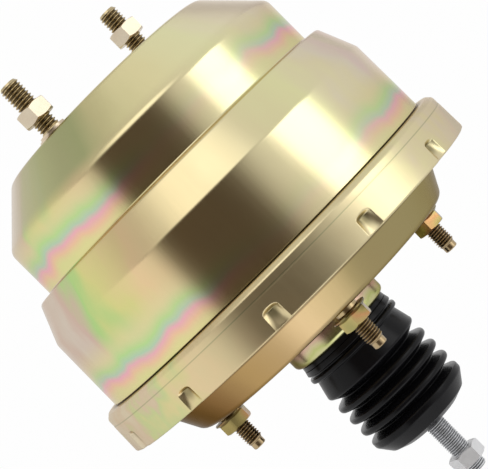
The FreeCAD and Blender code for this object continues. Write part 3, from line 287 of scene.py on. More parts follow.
# Light: the tent's level, its dark side with the edges of that, and two soft lights,
# each with its direction and strength
TENT = 0.80
DARK_SIDE = (0.095, 0.072, 0.054)
DARK_ASIDE = (0.62, 0.30)
DARK_BEHIND = (-0.05, -0.62)
DARK_TOP = (0.99, 0.80)
DARK_FOOT = (-0.07, 0.06)
LIGHT_ANGLES = (32, 6)
LEFT_LIGHT = ((-0.70, -0.52, 0.48), 0.85)
RIGHT_LIGHT = ((0.82, -0.47, 0.33), 0.75)
LAMP_PLACE = (-0.1, 0.14, 0.98)
LAMP_AIM = (-0.05, 0, 0)
LAMP_SIZE = 0.50
LAMP_POWER = 1.15

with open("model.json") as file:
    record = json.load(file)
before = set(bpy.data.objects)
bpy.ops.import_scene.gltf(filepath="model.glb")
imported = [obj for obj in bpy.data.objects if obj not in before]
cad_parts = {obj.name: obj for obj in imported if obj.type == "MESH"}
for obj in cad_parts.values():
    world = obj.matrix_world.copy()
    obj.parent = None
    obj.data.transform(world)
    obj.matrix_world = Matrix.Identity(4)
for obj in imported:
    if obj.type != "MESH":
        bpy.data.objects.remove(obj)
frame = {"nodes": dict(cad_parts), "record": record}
cad_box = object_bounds()
nodes = frame["nodes"]


def smooth(value, low, high):
    """A smooth step from 0 at low to 1 at high."""
    share = min(max((value - low) / (high - low), 0), 1)
    return share * share * (3 - 2 * share)


def rounded(points, steps=8):
    """Points along a line with its corners rounded by arcs, from (x, r) or (x, r, rounding)."""
    line = []
    for i, point in enumerate(points):
        at = Vector(point[:2])
        radius = point[2] if len(point) > 2 else 0
        if not radius or i in (0, len(points) - 1):
            line.append(tuple(at))
            continue
        back = Vector(points[i - 1][:2]) - at
        ahead = Vector(points[i + 1][:2]) - at
        room = 0.48 * min(back.length, ahead.length)
        back.normalize()
        ahead.normalize()
        half = back.angle(ahead) / 2
        radius = min(radius, room * math.tan(half))
        reach = radius / math.tan(half)
        centre = at + (back + ahead).normalized() * (radius / math.sin(half))
        start = at + back * reach - centre
        end = at + ahead * reach - centre
        sweep = start.angle(end)
        for k in range(steps + 1):
            share = k / steps
            bent = start * math.sin((1 - share) * sweep) + end * math.sin(share * sweep)
            line.append(tuple(centre + bent / math.sin(sweep)))
    return line


def dense(line, step):
    """The same line with no run longer than the step."""
    out = [line[0]]
    for (x0, r0), (x1, r1) in zip(line, line[1:]):
        count = max(1, math.ceil(math.hypot(x1 - x0, r1 - r0) / step))
        for k in range(1, count + 1):
            out.append((x0 + (x1 - x0) * k / count, r0 + (r1 - r0) * k / count))
    return out


def even(count):
    """That many turns, evenly spaced."""
    return [TAU * j / count for j in range(count)]


def quad(i, j, around):
    """The face from point j of ring i to the next point and the next ring."""
    k = (j + 1) % around
    return i * around + j, i * around + k, (i + 1) * around + k, (i + 1) * around + j


def turned(line, turns, centre=(0, 0), cut=None):
    """Vertices and faces of a line turned about X, facing left of its way.

    The function cut says how much comes off the radius at an x and a turn.
    """
    verts = []
    around = len(turns)
    for x, r in line:
        for turn in turns:
            reach = r - cut(x, turn) if cut else r
            y = centre[0] + reach * math.cos(turn)
            z = centre[1] + reach * math.sin(turn)
            verts.append((x, y, z))
    faces = [quad(i, j, around) for i in range(len(line) - 1) for j in range(around)]
    return verts, faces


def joined(name, parts):
    """One mesh from several sets of vertices and faces."""
    verts = []
    faces = []
    for part_verts, part_faces in parts:
        start = len(verts)
        verts += part_verts
        faces += [tuple(start + k for k in face) for face in part_faces]
    mesh = bpy.data.meshes.new(name)
    mesh.from_pydata(verts, [], faces)
    return mesh


def add_object(name, data):
    """A new object of the scene with this data."""
    made = bpy.data.objects.new(name, data)
    bpy.context.scene.collection.objects.link(made)
    return made


def piece(name, parts, material):
    """A closed solid from several sets of vertices and faces."""
    mesh = joined(name, parts)
    shape = bmesh.new()
    shape.from_mesh(mesh)
    bmesh.ops.remove_doubles(shape, verts=shape.verts, dist=MERGE_NEAR)
    bmesh.ops.holes_fill(shape, edges=shape.edges, sides=0)
    bmesh.ops.recalc_face_normals(shape, faces=shape.faces)
    shape.to_mesh(mesh)
    shape.free()
    mesh.shade_smooth()
    mesh.set_sharp_from_angle(angle=math.radians(SHARP_SOLID))
    mesh.materials.append(material)
    return add_object(name, mesh)


def thread(pitch, spans):
    """How much a right-hand thread takes off the radius within the spans."""
    depth = THREAD_DEPTH_SHARE * pitch
    flank = (1 - CREST_SHARE - ROOT_SHARE) / 2

    def cut(x, turn):
        inside = max(smooth(x, a, a + pitch) * (1 - smooth(x, b - pitch, b)) for a, b in spans)
        if inside <= 0:
            return 0
        phase = (x / pitch - turn / TAU) % 1
        from_crest = min(phase, 1 - phase)
        return inside * depth * min(max((from_crest - CREST_SHARE / 2) / flank, 0), 1)

    return cut


class Graph:
    """A small helper that adds nodes to a tree and joins them."""

    def __init__(self, tree):
        self.tree = tree

    def add(self, kind, **values):
        node = self.tree.nodes.new(kind)
        for key, value in values.items():
            setattr(node, key, value)
        return node

    def join(self, source, target):
        self.tree.links.new(source, target)

    def feed(self, value, socket):
        """Sets a number or a colour on the socket, or joins what gives it."""
        if isinstance(value, (int, float)):
            socket.default_value = value
        elif isinstance(value, tuple):
            socket.default_value = (*value, 1)
        else:
            self.join(value, socket)

    def maths(self, operation, a, b=0):
        node = self.add("ShaderNodeMath", operation=operation)
        self.feed(a, node.inputs[0])
        self.feed(b, node.inputs[1])
        return node.outputs[0]

    def plus(self, a, b):
        return self.maths("ADD", a, b)

    def minus(self, a, b):
        return self.maths("SUBTRACT", a, b)

    def times(self, a, b):
        return self.maths("MULTIPLY", a, b)

    def split(self, vector):
        """The X, Y and Z of a vector."""
        node = self.add("ShaderNodeSeparateXYZ")
        self.join(vector, node.inputs[0])
        return node.outputs["X"], node.outputs["Y"], node.outputs["Z"]

    def between(self, value, low, high):
        """A smooth step from 0 at low to 1 at high, which may be the lower of the two."""
        node = self.add("ShaderNodeMapRange", interpolation_type="SMOOTHSTEP")
        node.inputs["From Min"].default_value = low
        node.inputs["From Max"].default_value = high
        self.join(value, node.inputs["Value"])
        return node.outputs["Result"]

    def strip(self, value, low, full_from, full_to, high):
        """1 from full_from to full_to, with a smooth edge on each side."""
        return self.times(self.between(value, low, full_from), self.between(value, high, full_to))

    def mix(self, factor, first, second):
        node = self.add("ShaderNodeMix", data_type="RGBA")
        self.feed(factor, node.inputs["Factor"])
        self.feed(first, node.inputs["A"])
        self.feed(second, node.inputs["B"])
        return node.outputs["Result"]


class Nodes(Graph):
    """The nodes of one new material."""

    def __init__(self, name):
        self.material = bpy.data.materials.new(name)
        self.material.use_nodes = True
        super().__init__(self.material.node_tree)
        self.shader = self.tree.nodes["Principled BSDF"]
        self.place = self.add("ShaderNodeTexCoord").outputs["Object"]

    def noise(self, vector, scale, detail=3, roughness=0.5):
        node = self.add("ShaderNodeTexNoise")
        node.inputs["Scale"].default_value = scale
        node.inputs["Detail"].default_value = detail
        node.inputs["Roughness"].default_value = roughness
        self.join(vector, node.inputs["Vector"])
        return node.outputs["Fac"]

    def stretched(self, scale):
        node = self.add("ShaderNodeMapping")
        node.inputs["Scale"].default_value = scale
        self.join(self.place, node.inputs["Vector"])
        return node.outputs["Vector"]

    def axial(self):
        """X, Y and Z of a point, and how far it lies from the X axis."""
        x, y, z = self.split(self.place)
        squares = self.plus(self.times(y, y), self.times(z, z))
        return x, y, z, self.maths("MAXIMUM", self.maths("SQRT", squares), 1 * MM)

    def round_noise(self, along, across, detail, roughness=0.5):
        """Noise that is even round the X axis, with a scale along it and one by turn."""
        x, y, z, radius = self.axial()
        vector = self.add("ShaderNodeCombineXYZ")
        self.join(self.times(x, along), vector.inputs["X"])
        self.join(self.times(self.maths("DIVIDE", y, radius), across), vector.inputs["Y"])
        self.join(self.times(self.maths("DIVIDE", z, radius), across), vector.inputs["Z"])
        return self.noise(vector.outputs[0], 1.0, detail, roughness)

    def sway(self, factor, reach):
        """How far a factor is from its middle, times the reach."""
        return self.times(self.minus(factor, 0.5), reach)

    def ramp(self, factor, stops):
        node = self.add("ShaderNodeValToRGB")
        colours = node.color_ramp
        while len(colours.elements) < len(stops):
            colours.elements.new(0.5)
        for element, (place, colour) in zip(colours.elements, stops):
            element.position = place
            element.color = (*colour, 1)
        self.join(factor, node.inputs["Fac"])
        return node.outputs["Color"]

    def spread(self, factor, low, high):
        """The factor's 0 and 1 moved to low and high."""
        node = self.add("ShaderNodeMapRange")
        node.inputs["To Min"].default_value = low
        node.inputs["To Max"].default_value = high
        self.join(factor, node.inputs["Value"])
        return node.outputs["Result"]

    def bump(self, height, strength, distance):
        node = self.add("ShaderNodeBump")
        node.inputs["Strength"].default_value = strength
        node.inputs["Distance"].default_value = distance
        self.join(height, node.inputs["Height"])
        self.join(node.outputs["Normal"], self.shader.inputs["Normal"])

    def finish(self, colour, roughness=None, **values):
        """Joins the colour and the roughness, and sets even values on the shader itself."""
        self.join(colour, self.shader.inputs["Base Color"])
        if roughness is not None:
            self.join(roughness, self.shader.inputs["Roughness"])
        for name, value in values.items():
            self.shader.inputs[name.replace("_", " ")].default_value = value
        return self.material


def height_share(m):
    """X, how high a point lies on its own circle about X, and its radius.

    The height is 0 at the side that the film drained to, and 1 at the other. Ramps on it also
    paint shade towards the low side.
    """
    x, y, z, radius = m.axial()
    rise = m.plus(m.times(y, math.sin(DRAIN_AND_SHADE_TILT)), m.times(z, math.cos(DRAIN_AND_SHADE_TILT)))
    return x, m.plus(m.times(m.maths("DIVIDE", rise, radius), 0.5), 0.5), radius


def chromate(name):
    """Zinc with a thin yellow film. Its hues lie in bands along the part, as the film drained.
    Painted shade darkens the nose cone's low side, the lance pockets, the fold and the crease, and
    painted light makes the cone's high side paler.
    """
    m = Nodes(name)
    x, share, radius = height_share(m)
    lines = m.round_noise(*DRAWN_LINES)
    shift = m.sway(m.round_noise(*CLOUDS), CLOUDS_REACH)
    shift = m.plus(shift, m.sway(m.round_noise(*MOTTLE), MOTTLE_REACH))
    shift = m.plus(shift, m.sway(lines, LINES_REACH))
    skirt = m.maths("GREATER_THAN", x, FILM_EDGES[1])
    spots = m.times(m.sway(m.round_noise(*SPOTS), SPOTS_REACH), skirt)
    colour = m.ramp(m.plus(m.plus(share, shift), spots), SHELL_HUES)
    colour = m.mix(m.times(skirt, SKIRT_SHARE), colour, SKIRT_TONE)
    # The nose cone's ramp is its olive film tone plus painted light and shade: darker on the low
    # side, lighter on the high side.
    cone_tone_and_shade = m.ramp(m.plus(share, m.times(shift, 0.5)), CONE_HUES_AND_SHADE)
    colour = m.mix(m.times(m.between(x, CONE_TO, CONE_FROM), CONE_SHARE), colour, cone_tone_and_shade)
    wobble = m.sway(m.round_noise(*WOBBLE), WOBBLE_REACH)
    sides = m.between(m.maths("ABSOLUTE", m.minus(share, FILM_MIDDLE)), *FILM_SIDES)
    sides = m.spread(sides, *FILM_SHARE)
    for edge_x in FILM_EDGES:
        film = m.between(m.plus(m.minus(x, edge_x), wobble), -FILM_REACH, 0)
        start = m.between(x, edge_x - FILM_REACH - FILM_BEFORE, edge_x - FILM_REACH + FILM_AFTER)
        here = m.times(start, m.maths("LESS_THAN", x, edge_x))
        colour = m.mix(m.times(here, sides), colour, m.ramp(film, FILM_HUES))
    # Painted shade: darker deep in the lance pockets.
    pocket_shade = m.times(m.between(radius, *POCKET), m.maths("GREATER_THAN", x, POCKET_FROM))
    colour = m.mix(m.times(pocket_shade, POCKET_SHARE), colour, POCKET_SHADE_TONE)
    # Painted shade: dark lines along the fold at the shoulder and along the crease on the skirt.
    for edges, strength, shade_tone in FOLD_AND_CREASE_SHADE:
        colour = m.mix(m.times(m.strip(x, *edges), strength), colour, shade_tone)
    m.bump(lines, 0.05, 0.1 * MM)
    rough = m.plus(m.spread(lines, *SHELL_ROUGH), m.times(skirt, SKIRT_ROUGHER))
    return m.finish(colour, rough, Metallic=1.0, Specular_Tint=EDGE_TINT)


def dome_chromate(name):
    """The same finish with a thicker film: bronze on the low side and khaki on the high one.
    Painted shade darkens the low side further, and the gap behind the skirt.
    """
    m = Nodes(name)
    x, share, _ = height_share(m)
    patches = m.round_noise(*DOME_CLOUDS)
    lines = m.round_noise(*DOME_LINES)
    # The ramp's low end is near black: painted shade on the low side.
    colour = m.ramp(m.plus(share, m.sway(patches, CLOUDS_REACH)), DOME_HUES_AND_SHADE)
    hub = m.between(m.plus(x, m.sway(patches, HUB_WOBBLE)), 0, HUB_LINE[-1][0])
    colour = m.mix(m.between(x, *HUB_FOOT), colour, m.ramp(hub, HUB_HUES))
    # Painted shade: a dark tone in the recess behind the skirt's edge, and on the low side of the
    # hub and, fainter, of the dome.
    gap_shade = m.times(m.between(x, *DOME_GAP_SHADE), DOME_GAP_SHADE_SHARE)
    strength = m.spread(m.maths("GREATER_THAN", x, HUB_FOOT[0]), *LOW_SIDE_SHADE_SHARE)
    low_side_shade = m.times(m.between(share, *LOW_SIDE_SHADE), strength)
    colour = m.mix(m.maths("MAXIMUM", gap_shade, low_side_shade), colour, DOME_SHADE_TONE)
    m.bump(lines, 0.05, 0.1 * MM)
    rough = m.spread(lines, *DOME_ROUGH)
    return m.finish(colour, rough, Metallic=1.0, Specular_Tint=DOME_EDGE_TINT)


def threaded(name, tones, radius, pitch, spacing=(0, 0), span=(-1, 1), metal=1.0,
             rough=(0.22, 0.36)):
    """A plated screw thread, from the tones of its roots, its crests and what is wider. The roots'
    dark tone is painted shade.

    Past its span the surface is as bright as the crests. The spacing is that of several equal
    threads on both sides of the axis.
    """
    m = Nodes(name)
    root_shade, crest, collar = tones
    depth = THREAD_DEPTH_SHARE * pitch
    x, *across = m.split(m.place)
    sides = [m.minus(m.maths("ABSOLUTE", side), half) for side, half in zip(across, spacing)]
    reach = m.maths("SQRT", m.plus(*(m.times(side, side) for side in sides)))
    height = m.add("ShaderNodeMapRange")
    height.inputs["From Min"].default_value = radius - depth
    height.inputs["From Max"].default_value = radius + 0.25 * depth
    m.join(reach, height.inputs["Value"])
    plain = m.plus(m.maths("LESS_THAN", x, span[0]), m.maths("GREATER_THAN", x, span[1]))
    height = m.maths("MAXIMUM", height.outputs["Result"], m.times(plain, 0.8))
    # Painted shade: dark towards the thread's roots.
    colour = m.ramp(height, [(0.06, root_shade), (0.55, crest), (0.86, crest), (1.0, collar)])
    stains = m.noise(m.place, 260)
    colour = m.mix(m.spread(stains, 0.0, 0.30), colour, tuple(0.5 * value for value in crest))
    m.bump(stains, 0.1, 0.05 * MM)
    return m.finish(colour, m.spread(stains, *rough), Metallic=metal)


def stained(name, stops, scale, low, high):
    """Yellow zinc on small parts, whose film shifts from face to face. Nut flanges are darker."""
    m = Nodes(name)
    drift = m.noise(m.place, scale, detail=1)
    marks = m.noise(m.place, 900)
    x, _, _ = m.split(m.place)
    flange = m.times(m.between(x, *NUT_FLANGE_TO), FLANGE_SHARE)
    colour = m.mix(flange, m.ramp(drift, stops), FLANGE_STAIN)
    m.bump(marks, 0.12, 0.05 * MM)
    return m.finish(colour, m.spread(marks, low, high), Metallic=1.0)


def plated(name, pale, dark, low, high, scale=500, metal=1.0):
    """Bright or dark plated steel with faint mottling."""
    m = Nodes(name)
    marks = m.noise(m.stretched((400, 1600, 1600)), 1.0)
    m.bump(marks, 0.15, 0.05 * MM)
    colour = m.mix(m.noise(m.place, scale), dark, pale)
    return m.finish(colour, m.spread(marks, low, high), Metallic=metal)


def rubber(name, pale, dark, low, high, gloss=0.5):
    """Black rubber with a fine grain from its mould and faint wear."""
    m = Nodes(name)
    mould = m.noise(m.place, 900, detail=4)
    wear = m.noise(m.place, 70, detail=2)
    m.bump(mould, 0.12, 0.1 * MM)
    rough = m.spread(mould, low, high)
    return m.finish(m.mix(wear, dark, pale), rough, Specular_IOR_Level=gloss)


def moulded(name, pale, dark, low, high):
    """Moulded resin or plastic with a fine grain and faint clouds."""
    m = Nodes(name)
    grain = m.noise(m.place, 1400)
    cloud = m.noise(m.place, 50, detail=2)
    m.bump(grain, 0.1, 0.1 * MM)
    return m.finish(m.mix(cloud, dark, pale), m.spread(grain, low, high))


def felt(name):
    """Filter felt of short fibres."""
    m = Nodes(name)
    fibres = m.noise(m.stretched((900, 2600, 2600)), 1.0, detail=6, roughness=0.7)
    colour = m.ramp(fibres, [(0.3, (0.16, 0.15, 0.14)), (0.7, (0.45, 0.43, 0.40))])
    m.bump(fibres, 0.7, 0.6 * MM)
    return m.finish(colour, m.spread(fibres, 0.85, 1.0))


# Film: the tilt at which it drained, which also sets the low side that painted shade darkens, and
# its noises with their reach. Each noise has its scale along X and by turn, its detail and, where
# that isn't 0.5, its roughness.
DRAIN_AND_SHADE_TILT = math.radians(38)
CLOUDS = (7, 1.6, 2, 0.45)
CLOUDS_REACH = 0.22
MOTTLE = (34, 5.5, 2, 0.4)
MOTTLE_REACH = 0.16
DRAWN_LINES = (8, 150, 4, 0.55)
LINES_REACH = 0.03
SPOTS = (60, 9, 2)
SPOTS_REACH = 0.36
WOBBLE = (12, 3.1, 2)
WOBBLE_REACH = 16 * MM
SHELL_ROUGH = (0.17, 0.26)
EDGE_TINT = (0.82, 0.76, 0.70, 1)

# Rear shell: its hub's foot, the painted shade in the gap behind the skirt and the painted shade
# on the low side
DOME_CLOUDS = (10, 2.2, 2)
DOME_LINES = (60, 60, 4, 0.55)
DOME_ROUGH = (0.20, 0.30)
DOME_EDGE_TINT = (0.58, 0.51, 0.42, 1)
DOME_GAP_SHADE = (-12.2 * MM, -13.2 * MM)
DOME_GAP_SHADE_SHARE = 0.7
DOME_SHADE_TONE = (0.10, 0.06, 0.03)
LOW_SIDE_SHADE = (0.17, 0.03)
LOW_SIDE_SHADE_SHARE = (0.1, 0.75)
HUB_FOOT = (0.5 * MM, 2.5 * MM)
HUB_WOBBLE = 10 * MM

# Front shell: its nose cone with painted light and shade, the coloured bands ahead of two edges,
# the skirt, the painted shade in the lances, and the painted shade along the fold and crease, each
# with its edges, strength and colour
CONE_FROM = -118 * MM
CONE_TO = -110 * MM
CONE_SHARE = 0.9
FILM_EDGES = (-89.6 * MM, -35.7 * MM)
FILM_REACH = 20 * MM
FILM_BEFORE = 8 * MM
FILM_AFTER = 6 * MM
FILM_MIDDLE = 0.62
FILM_SIDES = (0.10, 0.36)
FILM_SHARE = (0.08, 0.90)
SKIRT_ROUGHER = 0.11
SKIRT_SHARE = 0.5
SKIRT_TONE = (0.74, 0.63, 0.38)
POCKET = (98.9 * MM, 97.9 * MM)
POCKET_FROM = LANCE_FROM - 0.2 * MM
POCKET_SHARE = 0.75
POCKET_SHADE_TONE = (0.20, 0.17, 0.08)
FOLD_AND_CREASE_SHADE = (
    ((-35.55 * MM, -35.25 * MM, -34.95 * MM, -34.85 * MM), 0.85, (0.07, 0.055, 0.03)),
    ((-29.8 * MM, -29.5 * MM, -29.35 * MM, -29.0 * MM), 0.45, (0.26, 0.29, 0.15)),
)

# Flange nuts: the flange ends between these two places
NUT_FLANGE_TO = (4.2 * MM, 3.9 * MM)
FLANGE_SHARE = 0.55
FLANGE_STAIN = (0.10, 0.07, 0.04)

# Hues along each ramp
# Nose cone: film tone with painted shade, dark olive on the low side, and painted light, palest on
# the high side
CONE_HUES_AND_SHADE = [
    (0.00, (0.74, 0.70, 0.62)),
    (0.08, (0.54, 0.50, 0.36)),
    (0.16, (0.46, 0.47, 0.26)),
    (0.34, (0.42, 0.46, 0.22)),
    (0.44, (0.68, 0.62, 0.32)),
    (0.60, (0.84, 0.76, 0.42)),
    (0.80, (0.86, 0.84, 0.50)),
    (0.92, (0.90, 0.80, 0.62)),
    (1.00, (0.90, 0.84, 0.72)),
]
SHELL_HUES = [
    (0.00, (0.66, 0.58, 0.49)),
    (0.06, (0.62, 0.46, 0.38)),
    (0.11, (0.43, 0.64, 0.24)),
    (0.17, (0.68, 0.65, 0.26)),
    (0.25, (0.80, 0.59, 0.33)),
    (0.36, (0.74, 0.60, 0.33)),
    (0.50, (0.64, 0.54, 0.31)),
    (0.66, (0.76, 0.67, 0.40)),
    (0.80, (0.80, 0.77, 0.43)),
    (0.88, (0.78, 0.70, 0.46)),
    (0.93, (0.76, 0.68, 0.54)),
    (0.97, (0.76, 0.62, 0.56)),
    (1.00, (0.70, 0.64, 0.56)),
]
FILM_HUES = [
    (0.00, (0.74, 0.66, 0.36)),
    (0.28, (0.48, 0.70, 0.30)),
    (0.50, (0.46, 0.62, 0.46)),
    (0.68, (0.84, 0.42, 0.50)),
    (0.86, (0.86, 0.54, 0.36)),
    (1.00, (0.74, 0.70, 0.32)),
]
HUB_HUES = [
    (0.00, (0.50, 0.30, 0.20)),
    (0.35, (0.62, 0.42, 0.31)),
    (0.60, (0.60, 0.52, 0.30)),
    (0.85, (0.50, 0.52, 0.20)),
    (1.00, (0.60, 0.58, 0.30)),
]
NUT_HUES = [
    (0.30, (0.18, 0.14, 0.05)),
    (0.42, (0.38, 0.30, 0.11)),
    (0.52, (0.54, 0.29, 0.13)),
    (0.62, (0.46, 0.38, 0.15)),
    (0.75, (0.34, 0.32, 0.12)),
]
# Dome: bronze and khaki film, with painted shade that turns it near black on the low side
DOME_HUES_AND_SHADE = [
    (0.00, (0.13, 0.07, 0.03)),
    (0.10, (0.25, 0.14, 0.055)),
    (0.25, (0.46, 0.30, 0.12)),
    (0.45, (0.56, 0.41, 0.22)),
    (0.65, (0.38, 0.30, 0.14)),
    (0.90, (0.38, 0.32, 0.15)),
    (1.00, (0.48, 0.44, 0.30)),
]

# Materials: most have a pale and a dark colour, then a low and a high roughness
materials = {
    "yellow_zinc": chromate("yellow_zinc"),
    "dark_zinc": plated("dark_zinc", (0.46, 0.36, 0.20), (0.26, 0.19, 0.10), 0.24, 0.38),
    "gold_zinc": stained("gold_zinc", NUT_HUES, 75, 0.16, 0.28),
    "pale_zinc": plated("pale_zinc", (0.80, 0.79, 0.76), (0.66, 0.65, 0.62), 0.18, 0.32),
    "plain_steel": plated("plain_steel", (0.62, 0.62, 0.61), (0.48, 0.48, 0.47), 0.25, 0.42),
    "spring_steel": plated("spring_steel", (0.34, 0.34, 0.35), (0.22, 0.22, 0.23), 0.28, 0.42),
    "turned_steel": plated("turned_steel", (0.72, 0.72, 0.71), (0.60, 0.60, 0.59), 0.16, 0.28),
    "boot_rubber": rubber(
        "boot_rubber", (0.007, 0.007, 0.008), (0.004, 0.004, 0.005), 0.20, 0.30, 0.16
    ),
    "seal_rubber": rubber("seal_rubber", (0.030, 0.030, 0.031), (0.018, 0.018, 0.019), 0.55, 0.72),
    "moulded_resin": moulded(
        "moulded_resin", (0.075, 0.068, 0.060), (0.045, 0.040, 0.036), 0.42, 0.55
    ),
    "bearing_plastic": moulded(
        "bearing_plastic", (0.72, 0.70, 0.62), (0.62, 0.59, 0.50), 0.38, 0.5
    ),
    "filter_felt": felt("filter_felt"),
}
dome_zinc = dome_chromate("dome_zinc")
nut_plate = plated("nut_plate", (0.76, 0.68, 0.52), (0.66, 0.54, 0.40), 0.27, 0.35, 160)
jam_nut_plate = plated(
    "jam_nut_plate", (0.84, 0.84, 0.85), (0.74, 0.74, 0.75), 0.44, 0.54, 300, 0.6
)
# Thread tones: dark roots as painted shade, then crests and what is wider
front_thread = threaded(
    "front_thread",
    ((0.11, 0.075, 0.035), (0.62, 0.50, 0.29), (0.80, 0.66, 0.50)),
    FRONT_STUD_R,
    FRONT_PITCH,
    (MOUNT_HALF, 0),
    (FRONT_FACE - FRONT_STUD_OUT + CHAMFER, 1),
)
rear_thread = threaded(
    "rear_thread",
    ((0.05, 0.032, 0.018), (0.52, 0.39, 0.22), (0.62, 0.48, 0.26)),
    REAR_STUD_R,
    REAR_PITCH,
    (MOUNT_HALF, MOUNT_HALF),
    (-1, REAR_STUD_OUT - REAR_DOG - 0.3 * MM),
)
rod_thread = threaded(
    "rod_thread",
    ((0.15, 0.155, 0.165), (0.90, 0.91, 0.93), (0.90, 0.91, 0.93)),
    ROD_R,
    ROD_PITCH,
    metal=0.65,
    rough=(0.30, 0.42),
)

for part in frame["record"]["subparts"]:
    shown = nodes[part["node"]]
    shown.data.materials.clear()
    shown.data.materials.append(materials[part["material_slot"]])
for name, material in (("front_stud_nuts", nut_plate), ("rod_jam_nut", jam_nut_plate)):
    nodes[name].data.materials.clear()
    nodes[name].data.materials.append(material)


def rear_stud_line():
    tip = REAR_STUD_OUT
    thread_end = tip - REAR_DOG
    body = [(REAR_NUT_END, REAR_STUD_R), (thread_end - CHAMFER, REAR_STUD_R)]
    return [
        (REAR_HEAD_FROM, 0.1 * MM),
        (REAR_HEAD_FROM, REAR_HEAD_R - 0.6 * MM),
        (REAR_HEAD_FROM + REAR_HEAD, REAR_HEAD_R),
        (REAR_HEAD_FROM + REAR_HEAD, REAR_STUD_R),
        (REAR_PLATE_REAR, REAR_STUD_R),
        (REAR_PLATE_REAR, REAR_COLLAR_R),
        (REAR_COLLAR - 0.3 * MM, REAR_COLLAR_R),
        (REAR_COLLAR, REAR_COLLAR_R - 0.3 * MM),
        (REAR_COLLAR, REAR_STUD_R - CORE_DROP),
        (REAR_NUT_END - 0.4 * MM, REAR_STUD_R - CORE_DROP),
        *dense(body, REAR_PITCH / STEPS_PER_PITCH),
        (thread_end, REAR_DOG_R),
        (tip - 0.4 * MM, REAR_DOG_R),
        (tip, REAR_DOG_R - 0.4 * MM),
        (tip, 0.1 * MM),
    ]


def rear_studs():
    cut = thread(REAR_PITCH, [(REAR_NUT_END - REAR_PITCH, REAR_STUD_OUT - REAR_DOG)])
    line = rear_stud_line()
    turns = even(REAR_STUD_TURNS)
    sides = (-MOUNT_HALF, MOUNT_HALF)
    parts = [turned(line, turns, (y, z), cut) for y in sides for z in sides]
    made = piece("rear_stud_threads", parts, rear_thread)
    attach(made, "housing")
    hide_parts("rear_studs")


def front_stud(y, nut_out):
    tip = FRONT_FACE - FRONT_STUD_OUT
    nut_rear = FRONT_FACE - nut_out
    nut_front = nut_rear - FRONT_NUT_HEIGHT
    collar = FRONT_FACE - FRONT_COLLAR
    step = collar - FRONT_COLLAR_STEP
    core = FRONT_STUD_R - CORE_DROP
    small_step = FRONT_PITCH / STEPS_PER_PITCH
    line = [
        (tip, 0.1 * MM),
        (tip, FRONT_STUD_R - CHAMFER),
        *dense([(tip + CHAMFER, FRONT_STUD_R), (nut_front, FRONT_STUD_R)], small_step),
        (nut_front + 0.4 * MM, core),
        (nut_rear - 0.4 * MM, core),
        *dense([(nut_rear, FRONT_STUD_R), (step, FRONT_STUD_R)], small_step),
        (step, FRONT_COLLAR_STEP_R),
        (collar, FRONT_COLLAR_STEP_R),
        (collar, FRONT_COLLAR_R - 0.2 * MM),
        (collar + 0.2 * MM, FRONT_COLLAR_R),
        (FRONT_PLATE_FRONT, FRONT_COLLAR_R),
        (FRONT_PLATE_FRONT, FRONT_STUD_R),
        (FRONT_HEAD_FROM, FRONT_STUD_R),
        (FRONT_HEAD_FROM, FRONT_HEAD_R),
        (FRONT_HEAD_FROM + FRONT_HEAD, FRONT_HEAD_R - 0.6 * MM),
        (FRONT_HEAD_FROM + FRONT_HEAD, 0.1 * MM),
    ]
    spans = [(tip, nut_front + 0.5 * FRONT_PITCH), (nut_rear - 0.5 * FRONT_PITCH, step)]
    return turned(line, even(FRONT_STUD_TURNS), (y, 0), thread(FRONT_PITCH, spans))


def front_studs():
    parts = [front_stud(y, out) for y, out in zip((-MOUNT_HALF, MOUNT_HALF), FRONT_NUT_OUT)]
    made = piece("front_stud_threads", parts, front_thread)
    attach(made, "housing")
    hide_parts("front_studs")


def push_rod():
    steps = 10
    ball = [
        (BALL_X - BALL_R * math.cos(t), BALL_R * math.sin(t))
        for t in (math.pi * (k + 0.2) / (1.55 * steps) for k in range(steps))
    ]
    small_step = ROD_PITCH / STEPS_PER_PITCH
    nut_end = JAM_NUT_FROM + JAM_NUT_HEIGHT
    core = ROD_R - CORE_DROP
    thread_edge = (THREAD_FROM + 0.3 * MM, ROD_R)
    line = ball + [
        (BALL_X + BALL_R * 0.75, NECK_R),
        (SHANK_FROM - 1 * MM, NECK_R),
        (SHANK_FROM, SHANK_R),
        (THREAD_FROM, SHANK_R),
        *dense([(THREAD_FROM, ROD_R - 0.3 * MM), thread_edge, (JAM_NUT_FROM, ROD_R)], small_step),
        (JAM_NUT_FROM + 0.4 * MM, core),
        (nut_end - 0.4 * MM, core),
        *dense([(nut_end, ROD_R), (ROD_END - 0.8 * MM, ROD_R)], small_step),
        (ROD_END, ROD_R - 0.8 * MM),
        (ROD_END, 0.1 * MM),
    ]
    spans = [
        (THREAD_FROM, JAM_NUT_FROM + ROD_PITCH),
        (nut_end - ROD_PITCH, ROD_END + 0.5 * ROD_PITCH),
    ]
    rod = turned(line, even(ROD_TURNS), cut=thread(ROD_PITCH, spans))
    made = piece("push_rod_thread", [rod], rod_thread)
    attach(made, "push_rod")
    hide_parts("push_rod")


